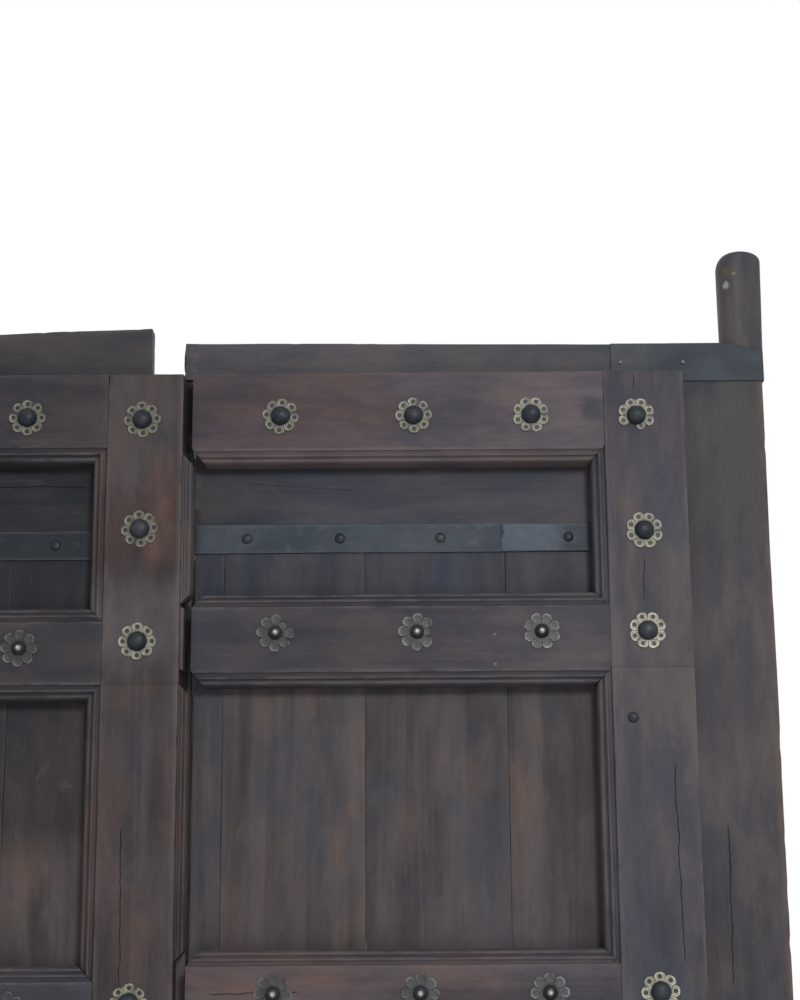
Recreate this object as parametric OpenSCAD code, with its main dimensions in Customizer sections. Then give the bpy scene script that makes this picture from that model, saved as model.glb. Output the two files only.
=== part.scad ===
/* [Leaves] */
// Distance from the centre line of the doorway to each pivot axis
pivot_x = 795; // [760:1:840]
// Timber beyond the pivot axis, to the outer edge of a leaf
past_pivot = 23; // [20:1:32]
// Width of the pivot plank
pivot_plank_w = 178; // [165:1:190]
// Thickness of the pivot plank and of the meeting plank
pivot_plank_t = 60; // [58:1:68]
// Thickness of the other planks
plank_t = 32; // [26:1:38]
// Open seam between the vertical planks
plank_seam = 0.4; // [0.2:0.1:1.5]
// Gap under the leaves, above the threshold
foot_gap = 6; // [3:1:12]
// Plank left bare below the applied frame
foot_margin = 36; // [34:1:60]
// Plank left bare above the applied frame, right leaf
head_margin = 53; // [45:1:70]
// Extra height of the left head board at its pivot side
left_head_rise = 6; // [0:1:20]
// Further rise of the left head board towards the meeting edge
left_head_slope = 25; // [0:1:40]
// Height of the head boards and foot boards behind the frame, without the bare margin
board_depth = 253; // [235:1:270]

/* [Meeting edge] */
// Right edge of the left leaf's meeting plank, from the centre line
left_meet = -0.2; // [-2:0.1:-0.2]
// Left edge of the right leaf's planks, from the centre line
right_meet = 5; // [5:0.1:8]
// Left end of the right leaf's rails, from the centre line
right_rail_end = 4.6; // [4.6:0.1:6]
// Width of the left leaf's meeting plank
left_meeting_w = 61; // [50:1:75]
// Width of the right leaf's meeting plank
right_meeting_w = 40.5; // [30:0.5:60]
// How far the right head board's torn ear reaches past its planks
ear_reach = 22.5; // [10:0.5:26]

/* [Applied frame] */
// Thickness of rails, uprights and cover post
frame_t = 42; // [38:1:50]
// Height of the rails, mouldings included
rail_h = 127; // [110:1:140]
// Plank that shows in a short panel below the head board's strap
below_strap = 63; // [45:1:85]
// Height of a tall panel between two rails
tall_panel = 355; // [300:1:420]
// How much lower the left leaf's middle rails sit
left_drop = 19; // [0:1:30]
// Inner edge of the hinge-side upright, from the outer edge of the leaf
upright_back = 235; // [218:1:258]
// Width of the hinge-side upright
upright_w = 114; // [95:1:120]
// Right edge of the cover post, from the centre line
cover_right = -12; // [-16:1:-10]
// Width of the cover post without its mouldings
cover_w = 106; // [90:1:120]

/* [Mouldings] */
// Width of the moulding on rails and uprights
mould_w = 20; // [17:0.5:24]
// Width of the moulding on the cover post's right side
cover_mould_w = 14; // [12:0.5:14]
// Chamfer of the right leaf's rail ends at the meeting edge
free_mitre = 12; // [6:1:18]
// Depth of the quirk between face and bead
quirk_d = 5; // [3:0.5:7]
// Width of the quirk and bead together
bead_w = 9; // [7:0.5:11]
// Radius of the bead
bead_r = 3.5; // [2.5:0.1:3.5]

/* [Pivots] */
// Radius of the turned pivots
post_r = 29.5; // [24:0.5:29.5]
// Height of the top pivot above the right leaf's planks
post_h = 146; // [110:1:180]
// Radius of the rounded shoulder of the top pivot
shoulder_r = 15; // [8:0.5:18]
// Depth of the flat hewn on the front of the top pivot
hewn_flat = 4; // [1:0.5:6]
// Running clearance between pivot and cup
pivot_clear = 1.5; // [0.8:0.1:3]
// Wall of the pivot cup
cup_wall = 9; // [6:0.5:14]
// Thickness of the pivot cup's floor
cup_floor = 10; // [6:0.5:16]
// Depth of the pivot in its cup
cup_depth = 30; // [20:1:40]

/* [Threshold] */
// Length of threshold beyond each pivot axis
sill_past = 98; // [75:1:160]
// Depth of the threshold, front to back
sill_d = 230; // [210:2:280]
// Height of the threshold under the leaves
sill_h = 70; // [60:1:90]
// Height of the closing upstand above that
stop_h = 30; // [20:1:30]
// How far the closing upstand stops short of each pivot axis
stop_short = 62; // [57:1:190]
// Gap between the upstand and the nail heads of the closed leaves
stop_gap = 1.5; // [1:0.5:4]

/* [Iron] */
// Thickness of straps and corner irons
strap_t = 3; // [2:0.5:4]
// Height of the straps across the short panels
strap_h = 41; // [30:1:50]
// Length of the corner irons, inwards from the outer edge
corner_l = 218; // [190:1:230]
// Radius of the small nail heads on the straps
nail_r = 7.5; // [5:0.1:9]
// Height of the small nail heads
nail_head_h = 3.5; // [2.5:0.1:5]
// Length of the small nails in the wood
nail_l = 22; // [15:1:25]
// Radius of the nail shanks
shank_r = 2.6; // [2:0.1:3]
// Clearance around each shank
shank_clear = 0.1; // [0.05:0.05:0.3]

/* [Rosettes] */
// Radius of a rosette
rosette_r = 25.5; // [21:0.5:29]
// Thickness of a rosette
rosette_t = 2; // [1.5:0.1:3]
// Radius of the hole in each petal of a bright rosette
petal_hole_r = 2.4; // [1.5:0.1:3]
// Radius of the round studs
stud_r = 13; // [10:0.5:15]
// Height of the round studs
stud_h = 10; // [7:0.5:13]
// Radius of the tipped studs
tipped_r = 10; // [8:0.5:13]
// Height of the tipped studs
tipped_h = 9; // [6:0.5:12]
// Length of the studs in the wood
stud_l = 34; // [24:1:35]

/* [Hidden] */
$fn = 48;

// Colours of the timbers and metals
plank_colour = [0.27, 0.19, 0.15];
frame_colour = [0.33, 0.23, 0.18];
edge_colour = [0.42, 0.28, 0.18];
iron_colour = [0.36, 0.39, 0.43];
brass_colour = [0.80, 0.70, 0.48];
dark_brass_colour = [0.33, 0.29, 0.23];

// Lengths of the threshold and of its closing upstand
sill_l = 2 * (pivot_x + sill_past);
stop_l = 2 * (pivot_x - stop_short);

// Planes from front to back: frame face, plank front, plank back, back of pivot plank and ledges
plank_front = -pivot_plank_t / 2;
frame_face = plank_front - frame_t;
plank_back = plank_front + plank_t;
leaf_back = pivot_plank_t / 2;
ledge_t = leaf_back - plank_back;

// Heights of the leaf, counted from the ground
plank_foot = sill_h + foot_gap;
frame_foot = plank_foot + foot_margin;
short_panel = board_depth - rail_h + below_strap;
panels = [short_panel, tall_panel, short_panel, tall_panel, short_panel];
last_rail = len(panels);
frame_top = frame_foot + (last_rail + 1) * rail_h + panels_above(last_rail);
plank_top = frame_top + head_margin;

// Places along the width
outer_edge = pivot_x + past_pivot;
pivot_plank_in = outer_edge - pivot_plank_w;
upright_in = outer_edge - upright_back;
upright_out = upright_in + upright_w;
cover_left = cover_right - cover_w;
left_end = -cover_left;
left_inner = left_meeting_w - left_meet;
right_inner = right_meet + right_meeting_w;

// A cutter is longer than what it cuts by this much
over = 1;
// Width and height of the ridge between bead and ovolo
ridge = 1;
// Turn of the hewn flat away from straight ahead
hewn_turn = 18;
// Width that the torn ear's edge wanders
tear = 3;
// Height that the ear stands clear above the cover post
ear_clear = 3;
// Heights of the torn edge's two corners, as shares of the ear's height
tear_low = 0.4;
tear_high = 0.7;

// Top of rail i (0 to 5), with the middle rails lowered by drop
function panels_above(i) = i == 0 ? 0 : panels_above(i - 1) + panels[i - 1];
function rail_top(i, drop) =
    frame_top - i * rail_h - panels_above(i) - (i > 0 && i < last_rail ? drop : 0);
function rail_mid(i, drop) = rail_top(i, drop) - rail_h / 2;
// Opening of panel i (0 to 4): its top and its foot
function panel_top(i, drop) = rail_top(i, drop) - rail_h;
function panel_foot(i, drop) = rail_top(i + 1, drop);
function panel_mid(i, drop) = (panel_top(i, drop) + panel_foot(i, drop)) / 2;
// Joint between two lengths of upright: under the face of rail 2 or rail 4
function joint_z(i, drop) = rail_top(i, drop) - rail_h + mould_w;

// Rosettes on a rail, as shares of its length
right_shares = [0.21, 0.535, 0.822];
right_dark_shares = [0.201, 0.539, 0.836];
left_shares = [0.245, 0.52, 0.80];
// Strap nails, as shares of the strap's length
nail_shares = [0.13, 0.365, 0.62, 0.945];
// Rosettes on uprights and cover post stand beside each rail and each short panel
upright_share = 0.45;
cover_share = 0.54;
upright_spots_x = upright_in + upright_w * upright_share;
cover_spots_x = cover_right - cover_w * cover_share;
// Rosettes on the rails below the first, and beside them, sit this much above the middle of the rail
rail_lift = 7;
// Rosettes beside a short panel sit this much below its middle
panel_sink = 10;
// Rosettes on the cover post sit this much below the middle of rail or panel
cover_sink = 3.5;

// Places of rosettes, studs and nails as [x, z] pairs, the left leaf's as if mirrored to the right
function rail_spots(from, to, shares, i, drop) =
    [for (s = shares) [from + (to - from) * s, rail_mid(i, drop) + (i > 0 ? rail_lift : 0)]];
function column_spots(x, drop, lift, sink) = concat(
    [for (i = [0:last_rail]) [x, rail_mid(i, drop) + (i > 0 ? lift : 0)]],
    [for (i = [0, 2, 4]) [x, panel_mid(i, drop) - sink]]);
function right_rail_spots(i) =
    rail_spots(right_rail_end, upright_in, i > 0 ? right_dark_shares : right_shares, i, 0);
function left_rail_spots(i) = rail_spots(left_end, upright_in, left_shares, i, left_drop);
right_column = column_spots(upright_spots_x, 0, rail_lift, panel_sink);
left_column = column_spots(upright_spots_x, left_drop, rail_lift, panel_sink);
cover_column = [for (spot = column_spots(cover_spots_x, 0, 0, 0)) [spot[0], spot[1] - cover_sink]];
right_bright = concat(right_rail_spots(0), right_column);
left_bright = concat(left_rail_spots(0), left_column);
right_dark = [for (i = [1:last_rail]) each right_rail_spots(i)];
left_dark = [for (i = [1:last_rail]) each left_rail_spots(i)];

// Straps: the first one follows the lower edge of the head board, the last one the foot board's upper edge
strap_gap = 0.3;
strap_end = upright_in - mould_w - strap_gap;
foot_board_top = frame_foot + board_depth;
// Share of the left rails' drop that the left head board follows
board_follow = 0.4;
function head_board_foot(drop) = frame_top - board_depth - drop * board_follow;
function strap_foot(i, drop) =
    i == 0 ? head_board_foot(drop)
    : i == 1 ? panel_mid(2, drop) - strap_h / 2
    : foot_board_top - strap_h;
function strap_nails(from, i, drop) =
    [for (s = nail_shares) [from + (strap_end - from) * s, strap_foot(i, drop) + strap_h / 2]];
left_strap_from = left_end + mould_w + strap_gap;
// Bare nails in the upright, this far below each joint, at this share of its width
bare_nail_below = 69;
bare_nail_share = 0.24;
function bare_nails(drop) =
    [for (i = [1, 3]) [upright_in + upright_w * bare_nail_share, joint_z(i, drop) - bare_nail_below]];
// Corner irons: top iron rises to the plank's top, and drops beside the upright by this much
corner_drop = 4;
corner_slope = 13;
corner_h = head_margin - strap_gap;
corner_inset = 14;
corner_nail_share = 0.45;
// Corner nails are smaller than strap nails by these shares
corner_nail_r = 0.6;
corner_nail_h = 0.7;
// Plane of the upstand's back, clear of the closed leaves' nail heads
stop_back = plank_front - strap_t - nail_head_h * corner_nail_h - stop_gap;
top_nail_z = plank_top - corner_h * (1 - corner_nail_share);
foot_nail_z = plank_foot + foot_margin / 2;
function corner_nails(x) = [[x, top_nail_z], [x, foot_nail_z]];
inner_corner_nails = corner_nails(outer_edge - corner_l + corner_inset);
outer_corner_nails = corner_nails(upright_out + corner_inset / 2);

// Everything of the left leaf is drawn as on the right and mirrored
module to_left() {
    mirror([1, 0, 0])
        children();
}

// A flat outline in x and z, given thickness from y = front to y = back
module slab(front, back) {
    translate([0, back, 0])
        rotate([90, 0, 0])
            linear_extrude(back - front)
                children();
}

// A bar that runs along x; its section is drawn with z to the right and depth upwards
module along_x(from, to) {
    translate([to, frame_face, 0])
        rotate([0, -90, 0])
            linear_extrude(to - from)
                children();
}

// Moulding section: quirk, bead, ovolo and lip, from the face line outwards, depth upwards
module moulding(w) {
    ovolo_r = w - bead_w;
    lip = quirk_d - ridge + ovolo_r;
    translate([-over, quirk_d])
        square([bead_w + over, frame_t - quirk_d]);
    translate([bead_w - bead_r, quirk_d])
        circle(r = bead_r);
    translate([0, lip])
        square([w, frame_t - lip]);
    intersection() {
        translate([bead_w, lip])
            circle(r = ovolo_r);
        translate([bead_w - ridge, quirk_d - ridge])
            square([ovolo_r + ridge, ovolo_r + ridge]);
    }
}

// Round shank hole from the front plane y into the wood
module shank_hole(x, y, z, length) {
    translate([x, y - over, z])
        rotate([-90, 0, 0])
            cylinder(r = shank_r + shank_clear, h = length + over, $fn = 24);
}

// Holes for the spots between two heights
module holes(spots, y, length, foot, top) {
    for (p = spots)
        if (p[1] > foot && p[1] < top)
            shank_hole(p[0], y, p[1], length);
}

// Holes for strap and corner nails, drilled from the irons' front plane
module iron_holes(spots) {
    for (p = spots)
        shank_hole(p[0], plank_front - strap_t, p[1], nail_l);
}

// Section of a rail: plain face and a moulding at its upper edge, its lower edge or both
module rail_section(top, upper, lower) {
    foot = top - rail_h;
    face_foot = foot + (lower ? mould_w : 0);
    face_top = top - (upper ? mould_w : 0);
    translate([face_foot, 0])
        square([face_top - face_foot, frame_t]);
    if (lower)
        translate([face_foot, 0])
            mirror([1, 0])
                moulding(mould_w);
    if (upper)
        translate([face_top, 0])
            moulding(mould_w);
}

// Front outline of a rail, mitred where it carries a moulding
module rail_outline(from, to, top, start_mitre, upper, lower) {
    foot = top - rail_h;
    face_foot = foot + (lower ? mould_w : 0);
    face_top = top - (upper ? mould_w : 0);
    polygon(concat(
        [[from, face_foot], [from, face_top]],
        upper ? [[from + start_mitre, top], [to - mould_w, top]] : [],
        [[to, face_top], [to, face_foot]],
        lower ? [[to - mould_w, foot], [from + start_mitre, foot]] : []));
}

// Rail i of a leaf; spots are the studs that go into it
module rail(from, i, drop, start_mitre, spots) {
    top = rail_top(i, drop);
    difference() {
        intersection() {
            along_x(from, upright_in)
                rail_section(top, i > 0, i < last_rail);
            slab(frame_face - over, plank_front + over)
                rail_outline(from, upright_in, top, start_mitre, i > 0, i < last_rail);
        }
        holes(spots, frame_face, stud_l, top - rail_h, top);
    }
}

// Moulding strip along one panel; side is 1 to the right of x, -1 to the left of it
module panel_strip(x, side, w, top, foot) {
    root = x - side * over;
    edge = x + side * w;
    intersection() {
        translate([x, frame_face, foot - w])
            linear_extrude(top - foot + 2 * w)
                mirror([side < 0 ? 1 : 0, 0])
                    moulding(w);
        slab(frame_face - over, plank_front + over)
            polygon([
                [root, foot - w],
                [x, foot - w],
                [edge, foot],
                [edge, top],
                [x, top + w],
                [root, top + w]]);
    }
}

// Plain block of an upright between two heights
module block(from, to, foot, top) {
    translate([from, frame_face, foot])
        cube([to - from, frame_t, top - foot]);
}

// One length of the hinge-side upright, with strips along the panels in list
module upright(foot, top, list, drop, spots) {
    difference() {
        union() {
            block(upright_in, upright_out, foot, top);
            for (i = list)
                panel_strip(upright_in, -1, mould_w, panel_top(i, drop), panel_foot(i, drop));
        }
        holes(spots, frame_face, stud_l, foot, top);
        holes(bare_nails(drop), frame_face, nail_l, foot, top);
    }
}

// One length of the cover post, mouldings towards both leaves' panels
module cover_post(foot, top, list) {
    difference() {
        union() {
            block(cover_left, cover_right, foot, top);
            for (i = list)
                panel_strip(cover_left, -1, mould_w, panel_top(i, left_drop), panel_foot(i, left_drop));
            intersection() {
                for (i = list)
                    panel_strip(cover_right, 1, cover_mould_w, panel_top(i, 0), panel_foot(i, 0));
                block(cover_right - over, cover_right + mould_w, foot, top);
            }
        }
        holes(cover_column, frame_face, stud_l, foot, top);
    }
}

// Pivot plank with a turned pivot at each end
module pivot_plank() {
    difference() {
        union() {
            translate([pivot_plank_in, plank_front, plank_foot])
                cube([pivot_plank_w, pivot_plank_t, plank_top - plank_foot]);
            translate([pivot_x, 0, 0])
                top_pivot();
            translate([pivot_x, 0, sill_h - cup_depth])
                foot_pivot();
        }
        iron_holes(outer_corner_nails);
    }
}

// Foot pivot: turned, with a narrower root inside the plank
module foot_pivot() {
    length = cup_depth + foot_gap;
    cylinder(r = post_r, h = length);
    cylinder(r = past_pivot - over, h = length + over);
}

// Top pivot: turned, with a rounded shoulder and one hewn flat towards the front
module top_pivot() {
    top = plank_top + post_h;
    difference() {
        rotate_extrude()
            union() {
                translate([0, plank_top - over])
                    square([past_pivot - over, post_h - shoulder_r + over]);
                translate([0, plank_top])
                    square([post_r, post_h - shoulder_r]);
                translate([0, top - shoulder_r - over])
                    square([post_r - shoulder_r, shoulder_r + over]);
                intersection() {
                    translate([post_r - shoulder_r, top - shoulder_r])
                        circle(r = shoulder_r);
                    translate([0, top - shoulder_r - over])
                        square([post_r, shoulder_r + over]);
                }
            }
        rotate([0, 0, hewn_turn])
            translate([-post_r, -post_r - over, plank_top + shoulder_r])
                cube([2 * post_r, hewn_flat + over, post_h]);
    }
}

// Front outline of the top corner iron, its upper edge worn down towards the pivot
module corner_outline() {
    polygon([
        [outer_edge - corner_l, frame_top + strap_gap],
        [upright_out + strap_gap, frame_top + strap_gap],
        [upright_out + strap_gap, frame_top - corner_drop],
        [outer_edge + strap_t, frame_top - corner_drop],
        [outer_edge + strap_t, plank_top - corner_slope],
        [pivot_x - post_r, plank_top],
        [outer_edge - corner_l, plank_top]]);
}

// Band that goes around the pivot plank: front leg, edge and back leg
module corner_band() {
    difference() {
        slab(plank_front - strap_t, leaf_back + strap_t)
            children();
        translate([0, plank_front, 0])
            cube([outer_edge, pivot_plank_t, plank_top + over]);
    }
}

module corner_irons() {
    difference() {
        union() {
            corner_band()
                corner_outline();
            corner_band()
                translate([outer_edge - corner_l, plank_foot])
                    square([corner_l + strap_t, foot_margin - strap_gap]);
        }
        translate([0, leaf_back - over, plank_foot - over])
            cube([pivot_plank_in, 2 * over + strap_t, plank_top]);
        iron_holes(concat(inner_corner_nails, outer_corner_nails));
    }
}

// Strap i (0 to 2) across a short panel, with its nail holes
module strap(from, i, drop) {
    difference() {
        translate([from, plank_front - strap_t, strap_foot(i, drop)])
            cube([strap_end - from, strap_t, strap_h]);
        iron_holes(strap_nails(from, i, drop));
    }
}

// Vertical plank number i, between the head board and the foot board
planks = 3;
module plank(inner, i, strap_from, drop) {
    w = (pivot_plank_in - inner) / planks;
    start = inner + (i - 1) * w;
    difference() {
        translate([start + plank_seam / 2, plank_front, foot_board_top])
            cube([w - plank_seam, plank_t, head_board_foot(drop) - foot_board_top]);
        iron_holes(strap_nails(strap_from, 1, drop));
    }
}

module foot_board(inner, strap_from) {
    difference() {
        translate([inner, plank_front, plank_foot])
            cube([pivot_plank_in - inner, plank_t, foot_board_top - plank_foot]);
        iron_holes(concat(strap_nails(strap_from, 2, 0), inner_corner_nails));
    }
}

// Two ledges behind the head and foot boards, two behind the middle planks
module back_ledges(inner) {
    for (i = [0, 2, 3, 5])
        translate([inner, plank_back, rail_top(i, 0) - rail_h])
            cube([pivot_plank_in - inner, ledge_t, rail_h]);
}

// Rosette plate: eight round petals, slit apart
petals = 8;
petal_turn = 360 / petals;
petal_share = 0.33;
slit_share = 0.045;
slit_from = 0.56;
petal_hole_out = 1.06;
module rosette(pierced) {
    petal_r = rosette_r * petal_share;
    petal_at = rosette_r - petal_r;
    slit_w = rosette_r * slit_share;
    linear_extrude(rosette_t)
        difference() {
            union() {
                circle(r = petal_at);
                for (i = [1:petals])
                    rotate(petal_turn * i)
                        translate([petal_at, 0])
                            circle(r = petal_r, $fn = 32);
            }
            circle(r = shank_r + shank_clear, $fn = 24);
            for (i = [1:petals])
                rotate(petal_turn * (i + 1 / 2))
                    translate([rosette_r * slit_from, -slit_w / 2])
                        square([rosette_r, slit_w]);
            if (pierced)
                for (i = [1:petals])
                    rotate(petal_turn * i)
                        translate([petal_at * petal_hole_out, 0])
                            circle(r = petal_hole_r, $fn = 24);
        }
}

// Places children on the plane y at each spot, looking out to the front
module on_plane(spots, y) {
    for (p = spots)
        translate([p[0], y, p[1]])
            rotate([90, 0, 0])
                children();
}

// Stud or nail: domed head above the surface, round shank below it
module headed_nail(r, h, length) {
    dome_r = (r * r + h * h) / (2 * h);
    rotate_extrude()
        intersection() {
            translate([0, h - dome_r])
                circle(r = dome_r);
            square([r + over, h]);
        }
    translate([0, 0, -length])
        cylinder(r = shank_r, h = length + over, $fn = 24);
}

// Tipped stud: low dome with a small raised tip
tip_dome = 0.7;
tip_foot_r = 0.4;
tip_top_r = 0.16;
module tipped_stud(length) {
    headed_nail(tipped_r, tipped_h * tip_dome, length);
    translate([0, 0, tipped_h / 2])
        cylinder(r1 = tipped_r * tip_foot_r, r2 = tipped_r * tip_top_r, h = tipped_h / 2);
}

// Strap nails, corner iron nails and bare nails of one leaf
module iron_nails(strap_from, drop) {
    iron_front = plank_front - strap_t;
    for (i = [0:2])
        on_plane(strap_nails(strap_from, i, i < 2 ? drop : 0), iron_front)
            headed_nail(nail_r, nail_head_h, nail_l);
    on_plane(concat(inner_corner_nails, outer_corner_nails), iron_front)
        headed_nail(nail_r * corner_nail_r, nail_head_h * corner_nail_h, nail_l);
    on_plane(bare_nails(drop), frame_face)
        headed_nail(nail_r, nail_head_h, nail_l);
}

module pivot_cup() {
    translate([pivot_x, 0, sill_h - cup_depth - cup_floor])
        difference() {
            cylinder(r = post_r + pivot_clear + cup_wall, h = cup_depth + cup_floor);
            translate([0, 0, cup_floor])
                cylinder(r = post_r + pivot_clear, h = cup_depth + over);
        }
}

module threshold_sill() {
    color(plank_colour)
        difference() {
            union() {
                translate([-sill_l / 2, -sill_d / 2, 0])
                    cube([sill_l, sill_d, sill_h]);
                translate([-stop_l / 2, -sill_d / 2, sill_h - over])
                    cube([stop_l, sill_d / 2 + stop_back, stop_h + over]);
            }
            for (s = [-1, 1])
                translate([s * pivot_x, 0, sill_h - cup_depth - cup_floor])
                    cylinder(r = post_r + pivot_clear + cup_wall, h = cup_depth + cup_floor + over);
        }
}

module left_pivot_cup() {
    color(iron_colour)
        to_left()
            pivot_cup();
}

module right_pivot_cup() {
    color(iron_colour)
        pivot_cup();
}

module left_pivot_plank() {
    color(edge_colour)
        to_left()
            pivot_plank();
}

module left_head_board() {
    board_foot = head_board_foot(left_drop);
    color(plank_colour)
        to_left()
            difference() {
                slab(plank_front, plank_back)
                    polygon([
                        [left_inner, board_foot],
                        [left_inner, frame_top],
                        [left_inner + tear, plank_top + left_head_rise + left_head_slope],
                        [pivot_plank_in, plank_top + left_head_rise],
                        [pivot_plank_in, board_foot]]);
                iron_holes(concat(strap_nails(left_strap_from, 0, left_drop), inner_corner_nails));
            }
}

module left_foot_board() {
    color(plank_colour)
        to_left()
            foot_board(left_inner, left_strap_from);
}

module left_meeting_plank() {
    color(plank_colour)
        to_left()
            translate([-left_meet, plank_front, plank_foot])
                cube([left_meeting_w, pivot_plank_t, frame_top - plank_foot]);
}

module left_plank_1() {
    color(plank_colour)
        to_left()
            plank(left_inner, 1, left_strap_from, left_drop);
}

module left_plank_2() {
    color(plank_colour)
        to_left()
            plank(left_inner, 2, left_strap_from, left_drop);
}

module left_plank_3() {
    color(plank_colour)
        to_left()
            plank(left_inner, 3, left_strap_from, left_drop);
}

module left_rail(i) {
    color(frame_colour)
        to_left()
            rail(left_end, i, left_drop, mould_w, left_rail_spots(i));
}

module left_rail_1() {
    left_rail(0);
}

module left_rail_2() {
    left_rail(1);
}

module left_rail_3() {
    left_rail(2);
}

module left_rail_4() {
    left_rail(3);
}

module left_rail_5() {
    left_rail(4);
}

module left_rail_6() {
    left_rail(5);
}

module left_upright(foot, top, list) {
    color(frame_colour)
        to_left()
            upright(foot, top, list, left_drop, left_column);
}

module left_upright_top() {
    left_upright(joint_z(1, left_drop), frame_top, [0]);
}

module left_upright_middle() {
    left_upright(joint_z(3, left_drop), joint_z(1, left_drop), [1, 2]);
}

module left_upright_foot() {
    left_upright(frame_foot, joint_z(3, left_drop), [3, 4]);
}

module cover_post_top() {
    color(frame_colour)
        cover_post(joint_z(1, left_drop), frame_top, [0]);
}

module cover_post_middle() {
    color(frame_colour)
        cover_post(joint_z(3, left_drop), joint_z(1, left_drop), [1, 2]);
}

module cover_post_foot() {
    color(frame_colour)
        cover_post(frame_foot, joint_z(3, left_drop), [3, 4]);
}

module left_strap(i) {
    color(iron_colour)
        to_left()
            strap(left_strap_from, i, i < 2 ? left_drop : 0);
}

module left_strap_top() {
    left_strap(0);
}

module left_strap_middle() {
    left_strap(1);
}

module left_strap_foot() {
    left_strap(2);
}

module left_corner_irons() {
    color(iron_colour)
        to_left()
            corner_irons();
}

module left_back_ledges() {
    color(plank_colour)
        to_left()
            back_ledges(left_inner);
}

module left_bright_rosettes() {
    color(brass_colour) {
        to_left()
            on_plane(left_bright, frame_face)
                rosette(true);
        on_plane(cover_column, frame_face)
            rosette(true);
    }
}

module left_dark_rosettes() {
    color(dark_brass_colour)
        to_left()
            on_plane(left_dark, frame_face)
                rosette(false);
}

module left_round_studs() {
    color(iron_colour) {
        to_left()
            on_plane(left_bright, frame_face - rosette_t)
                headed_nail(stud_r, stud_h, stud_l + rosette_t);
        on_plane(cover_column, frame_face - rosette_t)
            headed_nail(stud_r, stud_h, stud_l + rosette_t);
    }
}

module left_tipped_studs() {
    color(iron_colour)
        to_left()
            on_plane(left_dark, frame_face - rosette_t)
                tipped_stud(stud_l + rosette_t);
}

module left_iron_nails() {
    color(iron_colour)
        to_left()
            iron_nails(left_strap_from, left_drop);
}

module right_pivot_plank() {
    color(edge_colour)
        pivot_plank();
}

// The head board's meeting end is torn to an ear above the cover post
module right_head_board() {
    ear_foot = frame_top + ear_clear;
    ear_h = plank_top - ear_foot;
    ear_tip = right_meet - ear_reach;
    board_foot = head_board_foot(0);
    color(plank_colour)
        difference() {
            slab(plank_front, plank_back)
                polygon([
                    [right_meet, board_foot],
                    [right_meet, ear_foot],
                    [ear_tip + tear, ear_foot],
                    [ear_tip + tear / 2, ear_foot + ear_h * tear_low],
                    [ear_tip, ear_foot + ear_h * tear_high],
                    [ear_tip + tear, plank_top],
                    [pivot_plank_in, plank_top],
                    [pivot_plank_in, board_foot]]);
            iron_holes(concat(strap_nails(right_meet, 0, 0), inner_corner_nails));
        }
}

module right_foot_board() {
    color(plank_colour)
        foot_board(right_meet, right_meet);
}

module right_meeting_plank() {
    color(plank_colour)
        translate([right_meet, plank_front, foot_board_top])
            cube([right_meeting_w, pivot_plank_t, head_board_foot(0) - foot_board_top]);
}

module right_plank_1() {
    color(plank_colour)
        plank(right_inner, 1, right_meet, 0);
}

module right_plank_2() {
    color(plank_colour)
        plank(right_inner, 2, right_meet, 0);
}

module right_plank_3() {
    color(plank_colour)
        plank(right_inner, 3, right_meet, 0);
}

module right_rail(i) {
    color(frame_colour)
        rail(right_rail_end, i, 0, free_mitre, right_rail_spots(i));
}

module right_rail_1() {
    right_rail(0);
}

module right_rail_2() {
    right_rail(1);
}

module right_rail_3() {
    right_rail(2);
}

module right_rail_4() {
    right_rail(3);
}

module right_rail_5() {
    right_rail(4);
}

module right_rail_6() {
    right_rail(5);
}

module right_upright(foot, top, list) {
    color(frame_colour)
        upright(foot, top, list, 0, right_column);
}

module right_upright_top() {
    right_upright(joint_z(1, 0), frame_top, [0]);
}

module right_upright_middle() {
    right_upright(joint_z(3, 0), joint_z(1, 0), [1, 2]);
}

module right_upright_foot() {
    right_upright(frame_foot, joint_z(3, 0), [3, 4]);
}

module right_strap(i) {
    color(iron_colour)
        strap(right_meet, i, 0);
}

module right_strap_top() {
    right_strap(0);
}

module right_strap_middle() {
    right_strap(1);
}

module right_strap_foot() {
    right_strap(2);
}

module right_corner_irons() {
    color(iron_colour)
        corner_irons();
}

module right_back_ledges() {
    color(plank_colour)
        back_ledges(right_inner);
}

module right_bright_rosettes() {
    color(brass_colour)
        on_plane(right_bright, frame_face)
            rosette(true);
}

module right_dark_rosettes() {
    color(dark_brass_colour)
        on_plane(right_dark, frame_face)
            rosette(false);
}

module right_round_studs() {
    color(iron_colour)
        on_plane(right_bright, frame_face - rosette_t)
            headed_nail(stud_r, stud_h, stud_l + rosette_t);
}

module right_tipped_studs() {
    color(iron_colour)
        on_plane(right_dark, frame_face - rosette_t)
            tipped_stud(stud_l + rosette_t);
}

module right_iron_nails() {
    color(iron_colour)
        iron_nails(right_meet, 0);
}

threshold_sill();
left_pivot_cup();
right_pivot_cup();
left_pivot_plank();
left_head_board();
left_foot_board();
left_meeting_plank();
left_plank_1();
left_plank_2();
left_plank_3();
left_rail_1();
left_rail_2();
left_rail_3();
left_rail_4();
left_rail_5();
left_rail_6();
left_upright_top();
left_upright_middle();
left_upright_foot();
cover_post_top();
cover_post_middle();
cover_post_foot();
left_strap_top();
left_strap_middle();
left_strap_foot();
left_corner_irons();
left_back_ledges();
left_bright_rosettes();
left_dark_rosettes();
left_round_studs();
left_tipped_studs();
left_iron_nails();
right_pivot_plank();
right_head_board();
right_foot_board();
right_meeting_plank();
right_plank_1();
right_plank_2();
right_plank_3();
right_rail_1();
right_rail_2();
right_rail_3();
right_rail_4();
right_rail_5();
right_rail_6();
right_upright_top();
right_upright_middle();
right_upright_foot();
right_strap_top();
right_strap_middle();
right_strap_foot();
right_corner_irons();
right_back_ledges();
right_bright_rosettes();
right_dark_rosettes();
right_round_studs();
right_tipped_studs();
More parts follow.
